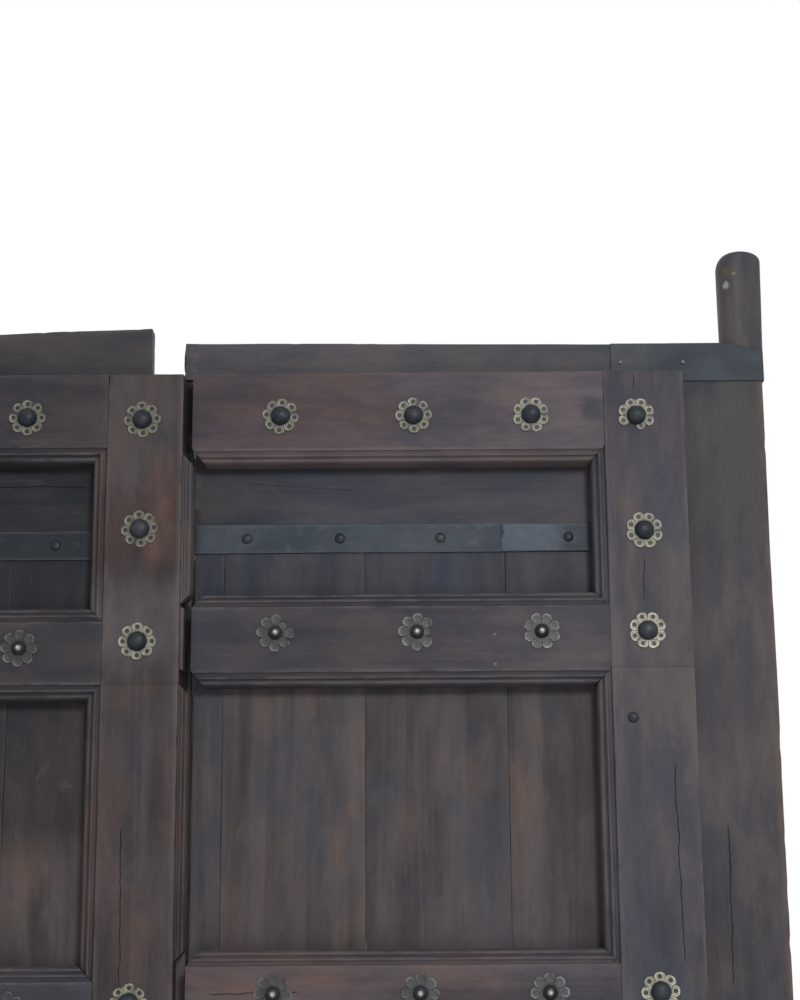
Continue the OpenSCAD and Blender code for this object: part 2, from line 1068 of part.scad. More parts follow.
right_iron_nails();
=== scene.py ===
import math
import bmesh
import bpy
import numpy as np
from mathutils import Matrix, Vector, noise


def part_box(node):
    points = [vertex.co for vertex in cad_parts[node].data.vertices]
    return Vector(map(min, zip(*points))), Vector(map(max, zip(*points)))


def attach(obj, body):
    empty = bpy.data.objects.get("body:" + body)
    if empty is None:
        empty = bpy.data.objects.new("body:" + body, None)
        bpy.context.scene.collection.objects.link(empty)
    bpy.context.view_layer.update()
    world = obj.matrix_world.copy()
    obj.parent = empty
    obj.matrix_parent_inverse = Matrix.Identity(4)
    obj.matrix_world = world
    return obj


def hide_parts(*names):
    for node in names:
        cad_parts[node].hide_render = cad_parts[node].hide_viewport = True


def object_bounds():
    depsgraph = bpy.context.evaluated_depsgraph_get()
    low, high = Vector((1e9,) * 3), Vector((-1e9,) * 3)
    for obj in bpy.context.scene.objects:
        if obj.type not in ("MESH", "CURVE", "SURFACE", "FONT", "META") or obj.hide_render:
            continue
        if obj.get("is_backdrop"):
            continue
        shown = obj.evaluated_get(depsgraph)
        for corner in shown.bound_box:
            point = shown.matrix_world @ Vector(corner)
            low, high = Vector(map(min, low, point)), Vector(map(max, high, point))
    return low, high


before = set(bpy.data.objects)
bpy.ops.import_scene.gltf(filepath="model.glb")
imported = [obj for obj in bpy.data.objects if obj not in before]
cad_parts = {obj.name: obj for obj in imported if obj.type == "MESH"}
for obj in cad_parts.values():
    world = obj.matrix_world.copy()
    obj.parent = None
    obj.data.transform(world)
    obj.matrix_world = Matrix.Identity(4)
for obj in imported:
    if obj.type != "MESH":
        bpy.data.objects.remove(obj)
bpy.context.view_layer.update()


# The room: a pale floor and a white surround. The window light stands above and to the right of the leaves, so that
# the shadows of rails and posts fall downwards and to the left; a low glow and a back light fill the rest.
scene = bpy.context.scene
scene.view_settings.view_transform = "Standard"


def put(tree, kind, inputs=None, **settings):
    """Adds a node to a tree; its inputs are plain values or the sockets of other nodes."""
    node = tree.nodes.new(kind)
    for key, value in settings.items():
        setattr(node, key, value)
    for key, value in (inputs or {}).items():
        if isinstance(value, bpy.types.NodeSocket):
            tree.links.new(value, node.inputs[key])
        else:
            node.inputs[key].default_value = value
    return node


surround = bpy.data.worlds.new("white_surround")
surround.use_nodes = True
scene.world = surround
sky = surround.node_tree
sky.nodes.clear()
rays = put(sky, "ShaderNodeLightPath")
seen = put(sky, "ShaderNodeMath", {0: rays.outputs["Is Camera Ray"], 1: rays.outputs["Is Transmission Ray"]},
           operation="MAXIMUM")
seen_or_mirrored = put(sky, "ShaderNodeMath", {0: seen.outputs[0], 1: rays.outputs["Is Glossy Ray"]},
                       operation="MAXIMUM")
soft_light = put(sky, "ShaderNodeBackground", {"Color": (0.92, 0.96, 1.0, 1), "Strength": 0.31})
white = put(sky, "ShaderNodeBackground", {"Color": (1, 1, 1, 1), "Strength": 1.0})
either = put(sky, "ShaderNodeMixShader", {0: seen_or_mirrored.outputs[0], 1: soft_light.outputs[0],
                                          2: white.outputs[0]})
put(sky, "ShaderNodeOutputWorld", {"Surface": either.outputs[0]})

floor_mesh = bpy.data.meshes.new("floor")
floor_mesh.from_pydata([(-9, -9, 0), (9, -9, 0), (9, 9, 0), (-9, 9, 0)], [], [(0, 1, 2, 3)])
floor = bpy.data.objects.new("floor", floor_mesh)
scene.collection.objects.link(floor)
floor_paint = bpy.data.materials.new("pale_floor")
floor_paint.use_nodes = True
floor_skin = floor_paint.node_tree.nodes["Principled BSDF"].inputs
floor_skin["Base Color"].default_value = (0.86, 0.86, 0.85, 1)
floor_skin["Roughness"].default_value = 0.8
floor_mesh.materials.append(floor_paint)
floor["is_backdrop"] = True


def lamp(name, place, target, width, watts, colour):
    """A square soft lamp, turned to its target and not seen itself."""
    data = bpy.data.lights.new(name, "AREA")
    data.energy = watts
    data.size = width
    data.color = colour
    lamp_object = bpy.data.objects.new(name, data)
    lamp_object.location = place
    lamp_object.visible_camera = False
    lamp_object.rotation_mode = "QUATERNION"
    lamp_object.rotation_quaternion = (Vector(target) - Vector(place)).to_track_quat("-Z", "Y")
    scene.collection.objects.link(lamp_object)


lamp("window_light", (1.45, -4.4, 3.25), (0.1, 0, 1.7), width=0.9, watts=112, colour=(0.98, 0.985, 1.0))
lamp("floor_glow", (0.3, -2.9, 0.45), (0.3, 0, 2.0), width=0.9, watts=9, colour=(1.0, 0.985, 0.97))
lamp("back_light", (-2.5, 3.6, 3.4), (0, 0, 1.3), width=2.2, watts=45, colour=(0.96, 0.98, 1.0))

camera_data = bpy.data.cameras.new("photo_view")
camera_data.sensor_width, camera_data.lens = 36, 66.85
camera = bpy.data.objects.new("photo_view", camera_data)
scene.collection.objects.link(camera)
scene.camera = camera
eye_place, tilt, roll = (0.294, -2.6094, 1.3978), math.radians(12.6), math.radians(0.4)
ahead = Vector((0, math.cos(tilt), math.sin(tilt)))
above = Vector((0, -math.sin(tilt), math.cos(tilt)))
side = Vector((1, 0, 0))
view_right = side * math.cos(roll) - above * math.sin(roll)
view_up = side * math.sin(roll) + above * math.cos(roll)
camera.matrix_world = Matrix.Translation(eye_place) @ Matrix((view_right, view_up, -ahead)).transposed().to_4x4()


# Threshold: one heavy hardwood baulk, adzed square, with a closing upstand along its front. Its edges are
# worn round by feet, and two round pockets take the pivot cups.
def links(tree):
    """Short ways of adding the shader nodes that every finish uses; each gives back the socket it makes."""
    def sums(operation, first, second=0.5, clamp=False):
        return put(tree, "ShaderNodeMath", {0: first, 1: second}, operation=operation, use_clamp=clamp).outputs[0]

    def times(first, second):
        return sums("MULTIPLY", first, second)

    def plus(first, second):
        return sums("ADD", first, second)

    def less(first, second, clamp=False):
        return sums("SUBTRACT", first, second, clamp)

    def rest(value, clamp=False):
        return less(1.0, value, clamp)

    def most(first, second):
        return sums("MAXIMUM", first, second)

    def blend(share, first, second, kind="MIX"):
        first, second = [(*c, 1.0) if isinstance(c, tuple) else c for c in (first, second)]
        return put(tree, "ShaderNodeMix", {0: share, 6: first, 7: second}, data_type="RGBA",
                   blend_type=kind).outputs[2]

    def grain(vector, stretch, detail=3.0, rough=0.55, twist=0.0, shift=(0, 0, 0)):
        placed = put(tree, "ShaderNodeMapping", {"Vector": vector, "Scale": stretch, "Location": shift})
        return put(tree, "ShaderNodeTexNoise", {"Vector": placed.outputs[0], "Scale": 1.0, "Detail": detail,
                                               "Roughness": rough, "Distortion": twist}).outputs[0]

    def step(value, low, high):
        return put(tree, "ShaderNodeMapRange", {0: value, 1: low, 2: high, 3: 0.0, 4: 1.0},
                   interpolation_type="SMOOTHSTEP").outputs[0]

    def band(value, low, high):
        return times(step(value, low[0], low[1]), rest(step(value, high[0], high[1])))

    return sums, times, plus, less, rest, most, blend, grain, step, band


def new_finish(name):
    """An empty finish and its tree, with the object's own coordinates, whole and in parts."""
    finish = bpy.data.materials.new(name)
    finish.use_nodes = True
    place = put(finish.node_tree, "ShaderNodeTexCoord").outputs["Object"]
    return finish, finish.node_tree, place, put(finish.node_tree, "ShaderNodeSeparateXYZ", {0: place}).outputs


def dress(tree, colour, roughness, relief, strength, depth, **shares):
    """Joins a finish's colour, roughness and relief to its skin; shares are plain values such as Metallic."""
    skin = tree.nodes["Principled BSDF"]
    raised = put(tree, "ShaderNodeBump", {"Height": relief, "Strength": strength, "Distance": depth})
    for label, socket in (("Base Color", colour), ("Roughness", roughness), ("Normal", raised.outputs[0])):
        tree.links.new(socket, skin.inputs[label])
    for label, value in shares.items():
        skin.inputs[label.replace("_", " ")].default_value = value


def old_timber(name, along, dark, light, red, bloom, worn, red_share, bloom_share, shift, zones=(), cracks=(),
               specks=()):
    """Old oiled hardwood: long fibres, open pores, reddish and grey-blue patches, worn edges, and painted shade with
    some dirt in quirks. zones are (x from, x to, z from, z to, soft edge, tint, share), tinted for tone or as painted
    light and shade; cracks are (along from, along to, across at start, across at end, half width) and specks are
    (place, radius, tint), all in metres."""
    finish, tree, place, part = new_finish(name)
    sums, times, plus, less, rest, most, blend, grain, step, band = links(tree)
    lengthwise = part["X" if along == "X" else "Z"]
    crosswise = part["Z" if along == "X" else "X"]

    def stretched(length, width):
        return (length, width, width) if along == "X" else (width, width, length)

    fibre = grain(place, stretched(5.0, 170.0), 4.0, 0.6, 0.4, shift)
    pores = grain(place, stretched(30.0, 900.0), 2.0, 0.5, 0.0, shift)
    figure = grain(place, stretched(1.1, 24.0), 3.0, 0.55, 1.2, shift)
    patches = grain(place, stretched(3.0, 7.5), 5.0, 0.62, 0.25, shift)
    cloud = grain(place, stretched(5.0, 11.0), 4.0, 0.6, 0.6, (shift[0] + 7.3, shift[1], shift[2] + 2.1))
    scuffs = grain(place, stretched(22.0, 60.0), 4.0, 0.65, 0.5, shift)
    stains = grain(place, stretched(8.5, 27.0), 5.0, 0.65, 0.25, (shift[1] + 2.0, shift[2], shift[0] + 4.0))
    tone = plus(times(figure, 0.8), times(fibre, 0.2))
    colour = blend(step(tone, 0.34, 0.68), dark, light)
    colour = blend(times(step(patches, 0.46, 0.66), red_share), colour, red)
    colour = blend(times(step(cloud, 0.40, 0.62), bloom_share), colour, bloom)
    colour = blend(times(step(stains, 0.50, 0.68), 0.45), colour, dark)
    colour = blend(times(rest(step(stains, 0.34, 0.46)), 0.4), colour, light)
    for x_from, x_to, z_from, z_to, soft, tint, share in zones:
        ragged, half = times(less(patches, 0.5), soft * 2.0), soft / 2
        x_in = band(plus(part["X"], ragged), (x_from - half, x_from + half), (x_to - half, x_to + half))
        z_in = band(plus(part["Z"], ragged), (z_from - half, z_from + half), (z_to - half, z_to + half))
        colour = blend(times(times(x_in, z_in), share), colour, tint)
    colour = blend(times(step(scuffs, 0.58, 0.82), 0.45), colour, tuple(1.25 * c for c in light))
    weather = plus(times(patches, 0.5), times(stains, 0.5))
    weathered = blend(step(weather, 0.38, 0.62), (0.69, 0.74, 0.82), (1.32, 1.22, 1.12))
    colour = blend(1.0, colour, weathered, "MULTIPLY")
    shade = blend(step(pores, 0.36, 0.58), (0.92, 0.915, 0.91), (1.02, 1.02, 1.02))
    colour = blend(0.8, colour, shade, "MULTIPLY")
    wear_and_light = put(tree, "ShaderNodeAttribute", attribute_name="arris").outputs["Fac"]
    hollow_shade_and_dirt = put(tree, "ShaderNodeAttribute", attribute_name="hollow").outputs["Fac"]
    rub = times(wear_and_light, step(plus(scuffs, times(fibre, 0.4)), 0.52, 0.84))
    colour = blend(times(rub, 0.7), colour, worn)
    # Painted shade with some dirt: the hollow weight darkens quirks, rail undersides and the slots beside mouldings.
    colour = blend(times(hollow_shade_and_dirt, 0.4), colour, (0.018, 0.015, 0.015))
    checks = rest(step(grain(place, stretched(2.6, 260.0), 2.0, 0.5, 0.3, shift), 0.205, 0.235))
    open_line = times(checks, 0.6)
    for start, end, across_start, across_end, half in cracks:
        slope = (across_end - across_start) / (end - start)
        wander = times(less(grain(place, (38.0, 38.0, 38.0), 3.0), 0.5), 0.007)
        line = plus(times(less(lengthwise, start), slope), across_start)
        off = sums("ABSOLUTE", less(less(crosswise, line), wander))
        close = rest(step(off, half * 0.35, half))
        first, last, taper = min(start, end), max(start, end), 0.012
        reach = band(lengthwise, (first, first + taper), (last - taper, last))
        open_line = most(open_line, times(close, reach))
    colour = blend(open_line, colour, (0.008, 0.007, 0.007))
    for spot, size, tint in specks:
        away = put(tree, "ShaderNodeVectorMath", {0: place, 1: spot}, operation="DISTANCE").outputs["Value"]
        ragged = plus(away, times(less(grain(place, (190.0,) * 3, 3.0), 0.5), size * 1.7))
        colour = blend(times(rest(step(ragged, size * 0.4, size * 1.1)), 0.85), colour, tint)
    sheen = plus(times(cloud, 0.22), times(scuffs, 0.2))
    relief = plus(times(fibre, 0.7), times(pores, 0.35))
    relief = plus(relief, times(scuffs, 0.5))
    relief = less(relief, times(open_line, 1.6))
    dress(tree, colour, plus(sheen, 0.38), relief, 0.25, 0.0012, Specular_IOR_Level=0.13)
    return finish


sill_timber = old_timber(
    "sill_timber", "X", dark=(0.050, 0.037, 0.032), light=(0.115, 0.084, 0.070), red=(0.120, 0.074, 0.055),
    bloom=(0.098, 0.096, 0.100), worn=(0.175, 0.135, 0.105), red_share=0.6, bloom_share=0.5, shift=(3.1, 0.7, 1.9))


def eased(node, finish, edge_name, width, segments):
    """Gives a CAD node its finish, closes its skin and rounds its edges."""
    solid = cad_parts[node]
    solid.data.materials.clear()
    solid.data.materials.append(finish)
    solid.modifiers.new("closed_skin", "WELD").merge_threshold = 0.00001
    edge = solid.modifiers.new(edge_name, "BEVEL")
    edge.width, edge.segments = width, segments
    edge.limit_method, edge.angle_limit = "ANGLE", math.radians(50)


eased("threshold_sill", sill_timber, "trodden_edges", width=0.004, segments=3)


# Pivot cups: thick iron thimbles, forged over a mandrel and let into the pockets of the threshold. They are open at
# the top, with a filed rim, and the foot pivots turn in them.
def forged_iron(name, dark, light, rust, rust_share, edge, shine, roughness, dents, bright=(), flake_share=0.0):
    """Forged iron with scale, rust, pits, pale flakes and worn edges; bright is (x from, x to, z from, z to, tint) of
    lengths that differ in tone or that carry painted shade."""
    finish, tree, place, part = new_finish(name)
    _, times, plus, less, _, _, blend, grain, step, band = links(tree)
    clouds = grain(place, (9.0, 9.0, 14.0), 5.0, 0.62, 0.6)
    mottle = grain(place, (75.0, 75.0, 75.0), 4.0, 0.6)
    pits = grain(place, (330.0, 330.0, 330.0), 2.0, 0.5)
    hammer = grain(place, (38.0, 38.0, 38.0), 1.0, 0.4)
    colour = blend(step(plus(times(clouds, 0.65), times(mottle, 0.35)), 0.36, 0.66), dark, light)
    colour = blend(times(step(plus(mottle, times(clouds, 0.5)), 0.80, 0.98), rust_share), colour, rust)
    for x_from, x_to, z_from, z_to, tint in bright:
        ragged, sharp, soft = times(less(mottle, 0.5), 0.02), 0.002, 0.03
        x_in = band(plus(part["X"], ragged), (x_from, x_from + sharp), (x_to - soft, x_to))
        z_in = band(part["Z"], (z_from, z_from + sharp), (z_to - sharp, z_to))
        colour = blend(times(times(x_in, z_in), 0.85), colour, tint)
    flakes = step(grain(place, (24.0, 24.0, 45.0), 4.0, 0.6, 0.4), 0.52, 0.74)
    colour = blend(times(flakes, flake_share), colour, edge)
    colour = blend(times(step(pits, 0.66, 0.74), 0.55), colour, (0.012, 0.012, 0.014))
    wear_and_light = put(tree, "ShaderNodeAttribute", attribute_name="arris").outputs["Fac"]
    colour = blend(times(wear_and_light, 0.6), colour, edge)
    relief = plus(times(hammer, dents), times(mottle, 0.35))
    relief = less(relief, times(step(pits, 0.62, 0.74), 0.3))
    dress(tree, colour, plus(times(mottle, 0.3), roughness - 0.15), relief, 0.4, 0.0015,
          Metallic=shine, Specular_IOR_Level=0.25)
    return finish


cup_iron = forged_iron(
    "cup_iron", dark=(0.045, 0.048, 0.054), light=(0.12, 0.125, 0.135), rust=(0.085, 0.045, 0.028), rust_share=0.5,
    edge=(0.14, 0.14, 0.145), shine=0.6, roughness=0.5, dents=0.4)
for cup_name in ("left_pivot_cup", "right_pivot_cup"):
    eased(cup_name, cup_iron, "filed_rim", width=0.0012, segments=2)


# Pivot planks: the thick outer plank of each leaf, hewn in one piece with the pivots on which the leaf turns. Its top
# slopes outwards, its outer edge is rubbed pale by hands, and the top pivot has one flat hewn on its front.
def worn_outline(start, end, foot, top, radius, spacing):
    """Closed outline of a box: rounded arrises, points close to them and others at the spacing.
    Gives the points, how far each is an arris, and how far each lies in a hollow."""
    corners = [Vector(c) for c in ((start, foot), (end, foot), (end, top), (start, top))]
    area = sum(corners[i - 1].cross(corners[i]) for i in range(4))
    points, arris = [], []
    for i in range(4):
        before, here, after = corners[i - 1], corners[i], corners[(i + 1) % 4]
        back, on = before - here, after - here
        soft = min(radius, 0.4 * back.length, 0.4 * on.length)
        back.normalize()
        length = on.length
        on.normalize()
        points += [here + back * soft, here + (back + on) * soft * 0.29, here + on * soft]
        arris += [0.7, 1.0, 0.7]
        run = length - 2 * soft
        near = 3 * soft + 0.002
        if run > 3 * near:
            inner = run - 2 * near
            parts = max(1, round(inner / spacing))
            stops = [soft + near + inner * k / parts for k in range(parts)] + [length - soft - near]
            points += [here + on * stop for stop in stops]
            arris += [0.0] * len(stops)
    flat = np.array([tuple(p) for p in points])
    weights = np.array(arris)
    if area < 0:
        flat, weights = flat[::-1], weights[::-1]
    return flat, weights, np.zeros(len(weights))


def rings_along(along, outline, start, end, step, radius):
    """Copies of an outline from start to end, which may differ from point to point, with softened ends."""
    start = np.broadcast_to(np.asarray(start, float), len(outline))
    end = np.broadcast_to(np.asarray(end, float), len(outline))
    middle, size = (outline.max(0) + outline.min(0)) / 2, np.ptp(outline, axis=0)
    parts = max(2, math.ceil(float(np.max(end - start)) / step))
    places = [(0.0, 1, 1.0), (0.3, 1, 0.3)]
    places += [(k / parts, 0, 0.0) for k in range(parts + 1)]
    places += [(0.3, -1, 0.3), (0.0, -1, 1.0)]
    rings = []
    for share, which, shrink in places:
        if which == 1:
            run = start + share * radius
        elif which == -1:
            run = end - share * radius
        else:
            run = start + radius + (end - start - 2 * radius) * share
        flat = middle + (outline - middle) * (size - 2 * radius * shrink) / size
        if along == "X":
            rings.append(np.column_stack((run, flat[:, 0], flat[:, 1])))
        else:
            rings.append(np.column_stack((flat[:, 0], flat[:, 1], run)))
    return np.array(rings)


def swept(along, outline, start, end, step, radius):
    """A sweep of an outline with its weights, as hewn takes it."""
    return (rings_along(along, outline[0], start, end, step, radius),) + outline[1:]


def hewn(name, sweeps, finish, body, nodes, wander=0.0005, chips=0.0022):
    """One timber from its sweeps of rings, each with arris and hollow weights. The tool leaves the surface slightly
    uneven, and small chips are gone from the arrises."""
    points, faces, arris, hollow = [], [], [], []
    for rings, edge_weights, hollow_weights in sweeps:
        count, around = rings.shape[:2]
        base = sum(len(p) for p in points)
        points.append(rings.reshape(-1, 3))
        arris.append(np.tile(edge_weights, count))
        hollow.append(np.tile(hollow_weights, count))
        ends = np.concatenate([np.full(around, 0.8), np.zeros((count - 2) * around), np.full(around, 0.8)])
        arris[-1] = np.maximum(arris[-1], ends)
        for i in range(count - 1):
            low, high = base + i * around, base + (i + 1) * around
            for k in range(around):
                after = (k + 1) % around
                faces.append((low + k, low + after, high + after, high + k))
        faces.append(tuple(range(base, base + around)))
        faces.append(tuple(range(base + (count - 1) * around, base + count * around)))
    points, arris, hollow = np.concatenate(points), np.concatenate(arris), np.concatenate(hollow)
    mesh = bpy.data.meshes.new(name)
    mesh.from_pydata(points.tolist(), [], faces)
    turned = bmesh.new()
    turned.from_mesh(mesh)
    bmesh.ops.recalc_face_normals(turned, faces=turned.faces)
    turned.to_mesh(mesh)
    turned.free()
    outward = np.zeros(len(points) * 3)
    mesh.vertex_normals.foreach_get("vector", outward)
    outward = outward.reshape(-1, 3)
    shift = np.empty(len(points))
    for i, p in enumerate(points):
        p = Vector(p)
        uneven = noise.noise(p * 5.0) + 0.45 * noise.noise(p * 17.0 + Vector((3.0, 8.0, 1.0)))
        lost = max(0.0, noise.noise(p * 46.0) + 0.5 * noise.noise(p * 110.0) - 0.22) * arris[i]
        shift[i] = wander * uneven - chips * lost
    mesh.vertices.foreach_set("co", (points + outward * shift[:, None]).ravel())
    for label, values in (("arris", arris), ("hollow", hollow)):
        mesh.attributes.new(label, "FLOAT", "POINT").data.foreach_set("value", values.astype(np.float32))
    mesh.polygons.foreach_set("use_smooth", [True] * len(mesh.polygons))
    mesh.set_sharp_from_angle(angle=math.radians(42))
    mesh.materials.append(finish)
    mesh.update()
    timber = bpy.data.objects.new(name, mesh)
    scene.collection.objects.link(timber)
    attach(timber, body)
    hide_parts(*nodes)


plaster, dull_plaster, faint_plaster = (0.38, 0.36, 0.34), (0.24, 0.22, 0.20), (0.14, 0.13, 0.12)
pivot_specks = [((0.7735, -0.0216, 2.2955), 0.0066, plaster), ((0.7846, -0.0282, 2.3110), 0.0030, dull_plaster),
                ((0.7775, -0.0245, 2.2460), 0.0024, faint_plaster), ((0.7757, -0.0232, 2.2725), 0.0026, faint_plaster),
                ((0.7750, -0.0225, 2.3160), 0.0100, (0.112, 0.093, 0.070))]
pivot_timber = old_timber(
    "pivot_timber", "Z", dark=(0.048, 0.044, 0.048), light=(0.084, 0.076, 0.080), red=(0.092, 0.070, 0.062),
    bloom=(0.068, 0.069, 0.082), worn=(0.19, 0.135, 0.095), red_share=0.5, bloom_share=0.7, shift=(1.7, 4.2, 0.3),
    specks=pivot_specks,
    # Zones: darker across the head and lighter low down, a painted light gradient; lighter on the top pivot.
    zones=[(-1.0, 1.0, 1.93, 2.21, 0.12, (0.052, 0.053, 0.058), 0.75),
           (-1.0, 1.0, 2.20, 2.40, 0.02, (0.096, 0.089, 0.092), 0.7),
           (-1.0, 1.0, 1.45, 1.85, 0.15, (0.106, 0.090, 0.092), 0.58)],
    cracks=[(1.52, 1.30, 0.741, 0.738, 0.0011), (0.55, 0.22, -0.73, -0.733, 0.0012)])
leaves = (("left", "left_leaf", -1), ("right", "right_leaf", 1))


def edges_of(node, out):
    """Where the box of a CAD node has its inner and its outer edge, seen from the middle of the door."""
    low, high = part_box(node)
    return (low.x, high.x) if out > 0 else (high.x, low.x)


iron_thick, top_slope, slope_length, root_depth = 0.003, 0.013, 0.0555, 0.040
flat_depth, flat_turn, more, wider_foot, wider_top = 0.004, math.radians(18), 0.0006, 0.04, 0.06
shoulder_out, shoulder_in, shoulder_wide = 0.014, 0.028, 0.0195
for side_name, body_name, out in leaves:
    low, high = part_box(side_name + "_pivot_plank")
    inner, pivot_edge = edges_of(side_name + "_pivot_plank", out)
    outer = edges_of(side_name + "_corner_irons", out)[1] - out * iron_thick
    axis_x = sum(edges_of(side_name + "_pivot_cup", 1)) / 2
    pivot_r = abs(pivot_edge - axis_x)
    front, behind = -0.030, 0.030
    plank_foot, plank_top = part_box(side_name + "_foot_board")[0].z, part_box(side_name + "_corner_irons")[1].z
    plank_outline = worn_outline(inner, outer, front, behind, radius=0.0022, spacing=0.012)
    edge_side = np.clip(1 - np.abs(plank_outline[0][:, 0] - outer) / 0.008, 0, 1)
    plank_arris = np.maximum(plank_outline[1] * 0.5, edge_side)
    slope = np.clip((np.abs(plank_outline[0][:, 0]) - abs(outer) + slope_length - iron_thick) / slope_length, 0, 1)
    plank_tops = plank_top - 0.0005 - top_slope * slope
    plank_rings = rings_along("Z", plank_outline[0], plank_foot, plank_tops, step=0.014, radius=0.002)
    sweeps = [(plank_rings, plank_arris, plank_outline[2])]
    around = np.linspace(0, 2 * math.pi, 44, endpoint=False)
    unit = np.column_stack((np.cos(around), np.sin(around)))
    flat_facing = np.array([out * math.sin(flat_turn), -math.cos(flat_turn)])
    deep = shoulder_out + (shoulder_in - shoulder_out) * np.clip(-out * unit[:, 0], 0, 1)
    root = plank_top - root_depth
    stands = [(0.0, share) for share in np.linspace(0, 1, 22)]
    stands += [(turn, 1.0) for turn in (0.2, 0.4, 0.6, 0.8, 1.0, 1.2, 1.4, math.pi / 2)]
    top_rings = []
    for turn, share in stands:
        z = root + share * (high.z - deep - root) + deep * math.sin(turn)
        height = np.clip((z - plank_top) / (high.z - plank_top), 0, 1)
        ring = unit * (pivot_r + more - shoulder_wide * (1 - math.cos(turn)))
        ring[:, 0] *= 1 + wider_foot + wider_top * height
        rise = np.clip((z - plank_top - 0.006) / 0.012, 0, 1)
        past = np.clip(ring @ flat_facing - (pivot_r - flat_depth), 0, None) * rise
        ring = ring - past[:, None] * flat_facing
        top_rings.append(np.column_stack((ring[:, 0] + axis_x + out * 0.001 * height, ring[:, 1], z)))
    crown, axis = top_rings[-1].copy(), np.array([axis_x, 0])
    crown[:, :2] = axis + 0.5 * (crown[:, :2] - axis)
    top_rings.append(crown)
    none = np.zeros(len(around))
    sweeps.append((np.array(top_rings), none, none))
    foot_rings = [np.column_stack((unit[:, 0] * pivot_r + axis_x, unit[:, 1] * pivot_r, np.full(len(unit), z)))
                  for z in (low.z, low.z + 0.012, plank_foot + 0.002)]
    sweeps.append((np.array(foot_rings), none, none))
    hewn(side_name + "_pivot_plank_timber", sweeps, pivot_timber, body_name, [side_name + "_pivot_plank"],
         wander=0.0006, chips=0.003)


# Head boards: wide boards with level grain that close the top of each leaf behind the frame. The left one stands
# higher and slopes; the right one ends in a torn ear above the cover post.
board_timber = old_timber(
    "board_timber", "X", dark=(0.036, 0.036, 0.044), light=(0.072, 0.069, 0.080), red=(0.078, 0.062, 0.060),
    bloom=(0.052, 0.058, 0.076), worn=(0.115, 0.105, 0.105), red_share=0.5, bloom_share=0.7, shift=(0.0, 2.2, 5.4),
    # Zones: a lighter right head board, a darker left one, a tint over the first panel, and painted shadow over the
    # left leaf (of the cover post) and the left end of the first panel.
    zones=[(-0.03, 1.0, 2.140, 2.30, 0.02, (0.092, 0.090, 0.099), 0.65),
           (-0.42, -0.08, 1.7, 2.10, 0.08, (0.020, 0.021, 0.025), 0.8),
           (-1.0, -0.04, 2.14, 2.30, 0.02, (0.061, 0.056, 0.058), 0.75),
           (-0.02, 0.10, 1.89, 2.05, 0.08, (0.037, 0.038, 0.045), 0.75),
           (0.15, 0.62, 1.90, 2.02, 0.08, (0.070, 0.067, 0.078), 0.45)],
    cracks=[(0.072, 0.232, 1.9990, 1.9892, 0.0005), (-0.30, -0.15, 1.998, 1.9966, 0.0012),
            (-0.42, -0.30, 2.176, 2.179, 0.0008)])


def board_outline(low, high, radius):
    """Outline of a board, to be stretched between its foot and its top, and how far up each point of it lies."""
    outline = worn_outline(low.y, high.y, 0, 0.3, radius, spacing=0.010)
    return outline, (outline[0][:, 1] - outline[0][:, 1].min()) / np.ptp(outline[0][:, 1])


low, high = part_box("right_head_board")
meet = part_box("right_foot_board")[0].x - 0.0024
ear_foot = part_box("right_rail_1")[1].z + 0.003
tear, splinter, ripple, end_lift, lift_length = 0.0030, 0.0012, 0.0011, 0.0055, 0.55
outline, rise = board_outline(low, high, radius=0.0016)
torn = np.array([tear * noise.noise(Vector((0.3, 4.0, r * 9.0))) + splinter * noise.noise(Vector((2.0, 1.0, r * 31.0)))
                 for r in rise])
board_rings = rings_along("X", outline[0], low.x + 0.0015 + torn, high.x, step=0.010, radius=0.0012)
ear_rings = [ring for ring in board_rings if ring[:, 0].max() < meet - 0.002]
long_rings = [ring for ring in board_rings if ring[:, 0].min() > meet + 0.002]
last_of_ear, first_past_ear = ear_rings[-1].copy(), long_rings[0].copy()
last_of_ear[:, 0], first_past_ear[:, 0] = meet - 0.0004, meet
board_rings = np.array(ear_rings + [last_of_ear, first_past_ear] + long_rings)
for ring in board_rings:
    foot = np.where(ring[:, 0] < meet - 0.0002, ear_foot, low.z)
    lift = np.array([ripple * noise.noise(Vector((x * 9.0, 0.4, 2.0))) + end_lift * max(0.0, 1 - x / lift_length)
                     for x in ring[:, 0]])
    ring[:, 2] = foot + rise * (high.z + lift - foot)
hewn("right_head_board_timber", [(board_rings,) + outline[1:]], board_timber, "right_leaf", ["right_head_board"],
     wander=0.0006, chips=0.003)

low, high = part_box("left_head_board")
left_top_hinge, left_top_meet, ripple = high.z - 0.019, high.z, 0.0012
outline, rise = board_outline(low, high, radius=0.0022)
board_rings = rings_along("X", outline[0], low.x, high.x, step=0.010, radius=0.0018)
for ring in board_rings:
    share = (ring[:, 0] - low.x) / (high.x - low.x)
    wave = np.array([ripple * noise.noise(Vector((x * 8.0, 3.0, 1.0))) for x in ring[:, 0]])
    top = left_top_hinge + share * (left_top_meet - left_top_hinge) + wave - 0.002
    ring[:, 2] = low.z + rise * (top - low.z)
    ring[:, 0] -= np.where(share > 0.97, rise * 0.003, 0)
hewn("left_head_board_timber", [(board_rings,) + outline[1:]], board_timber, "left_leaf", ["left_head_board"],
     wander=0.0006, chips=0.003)


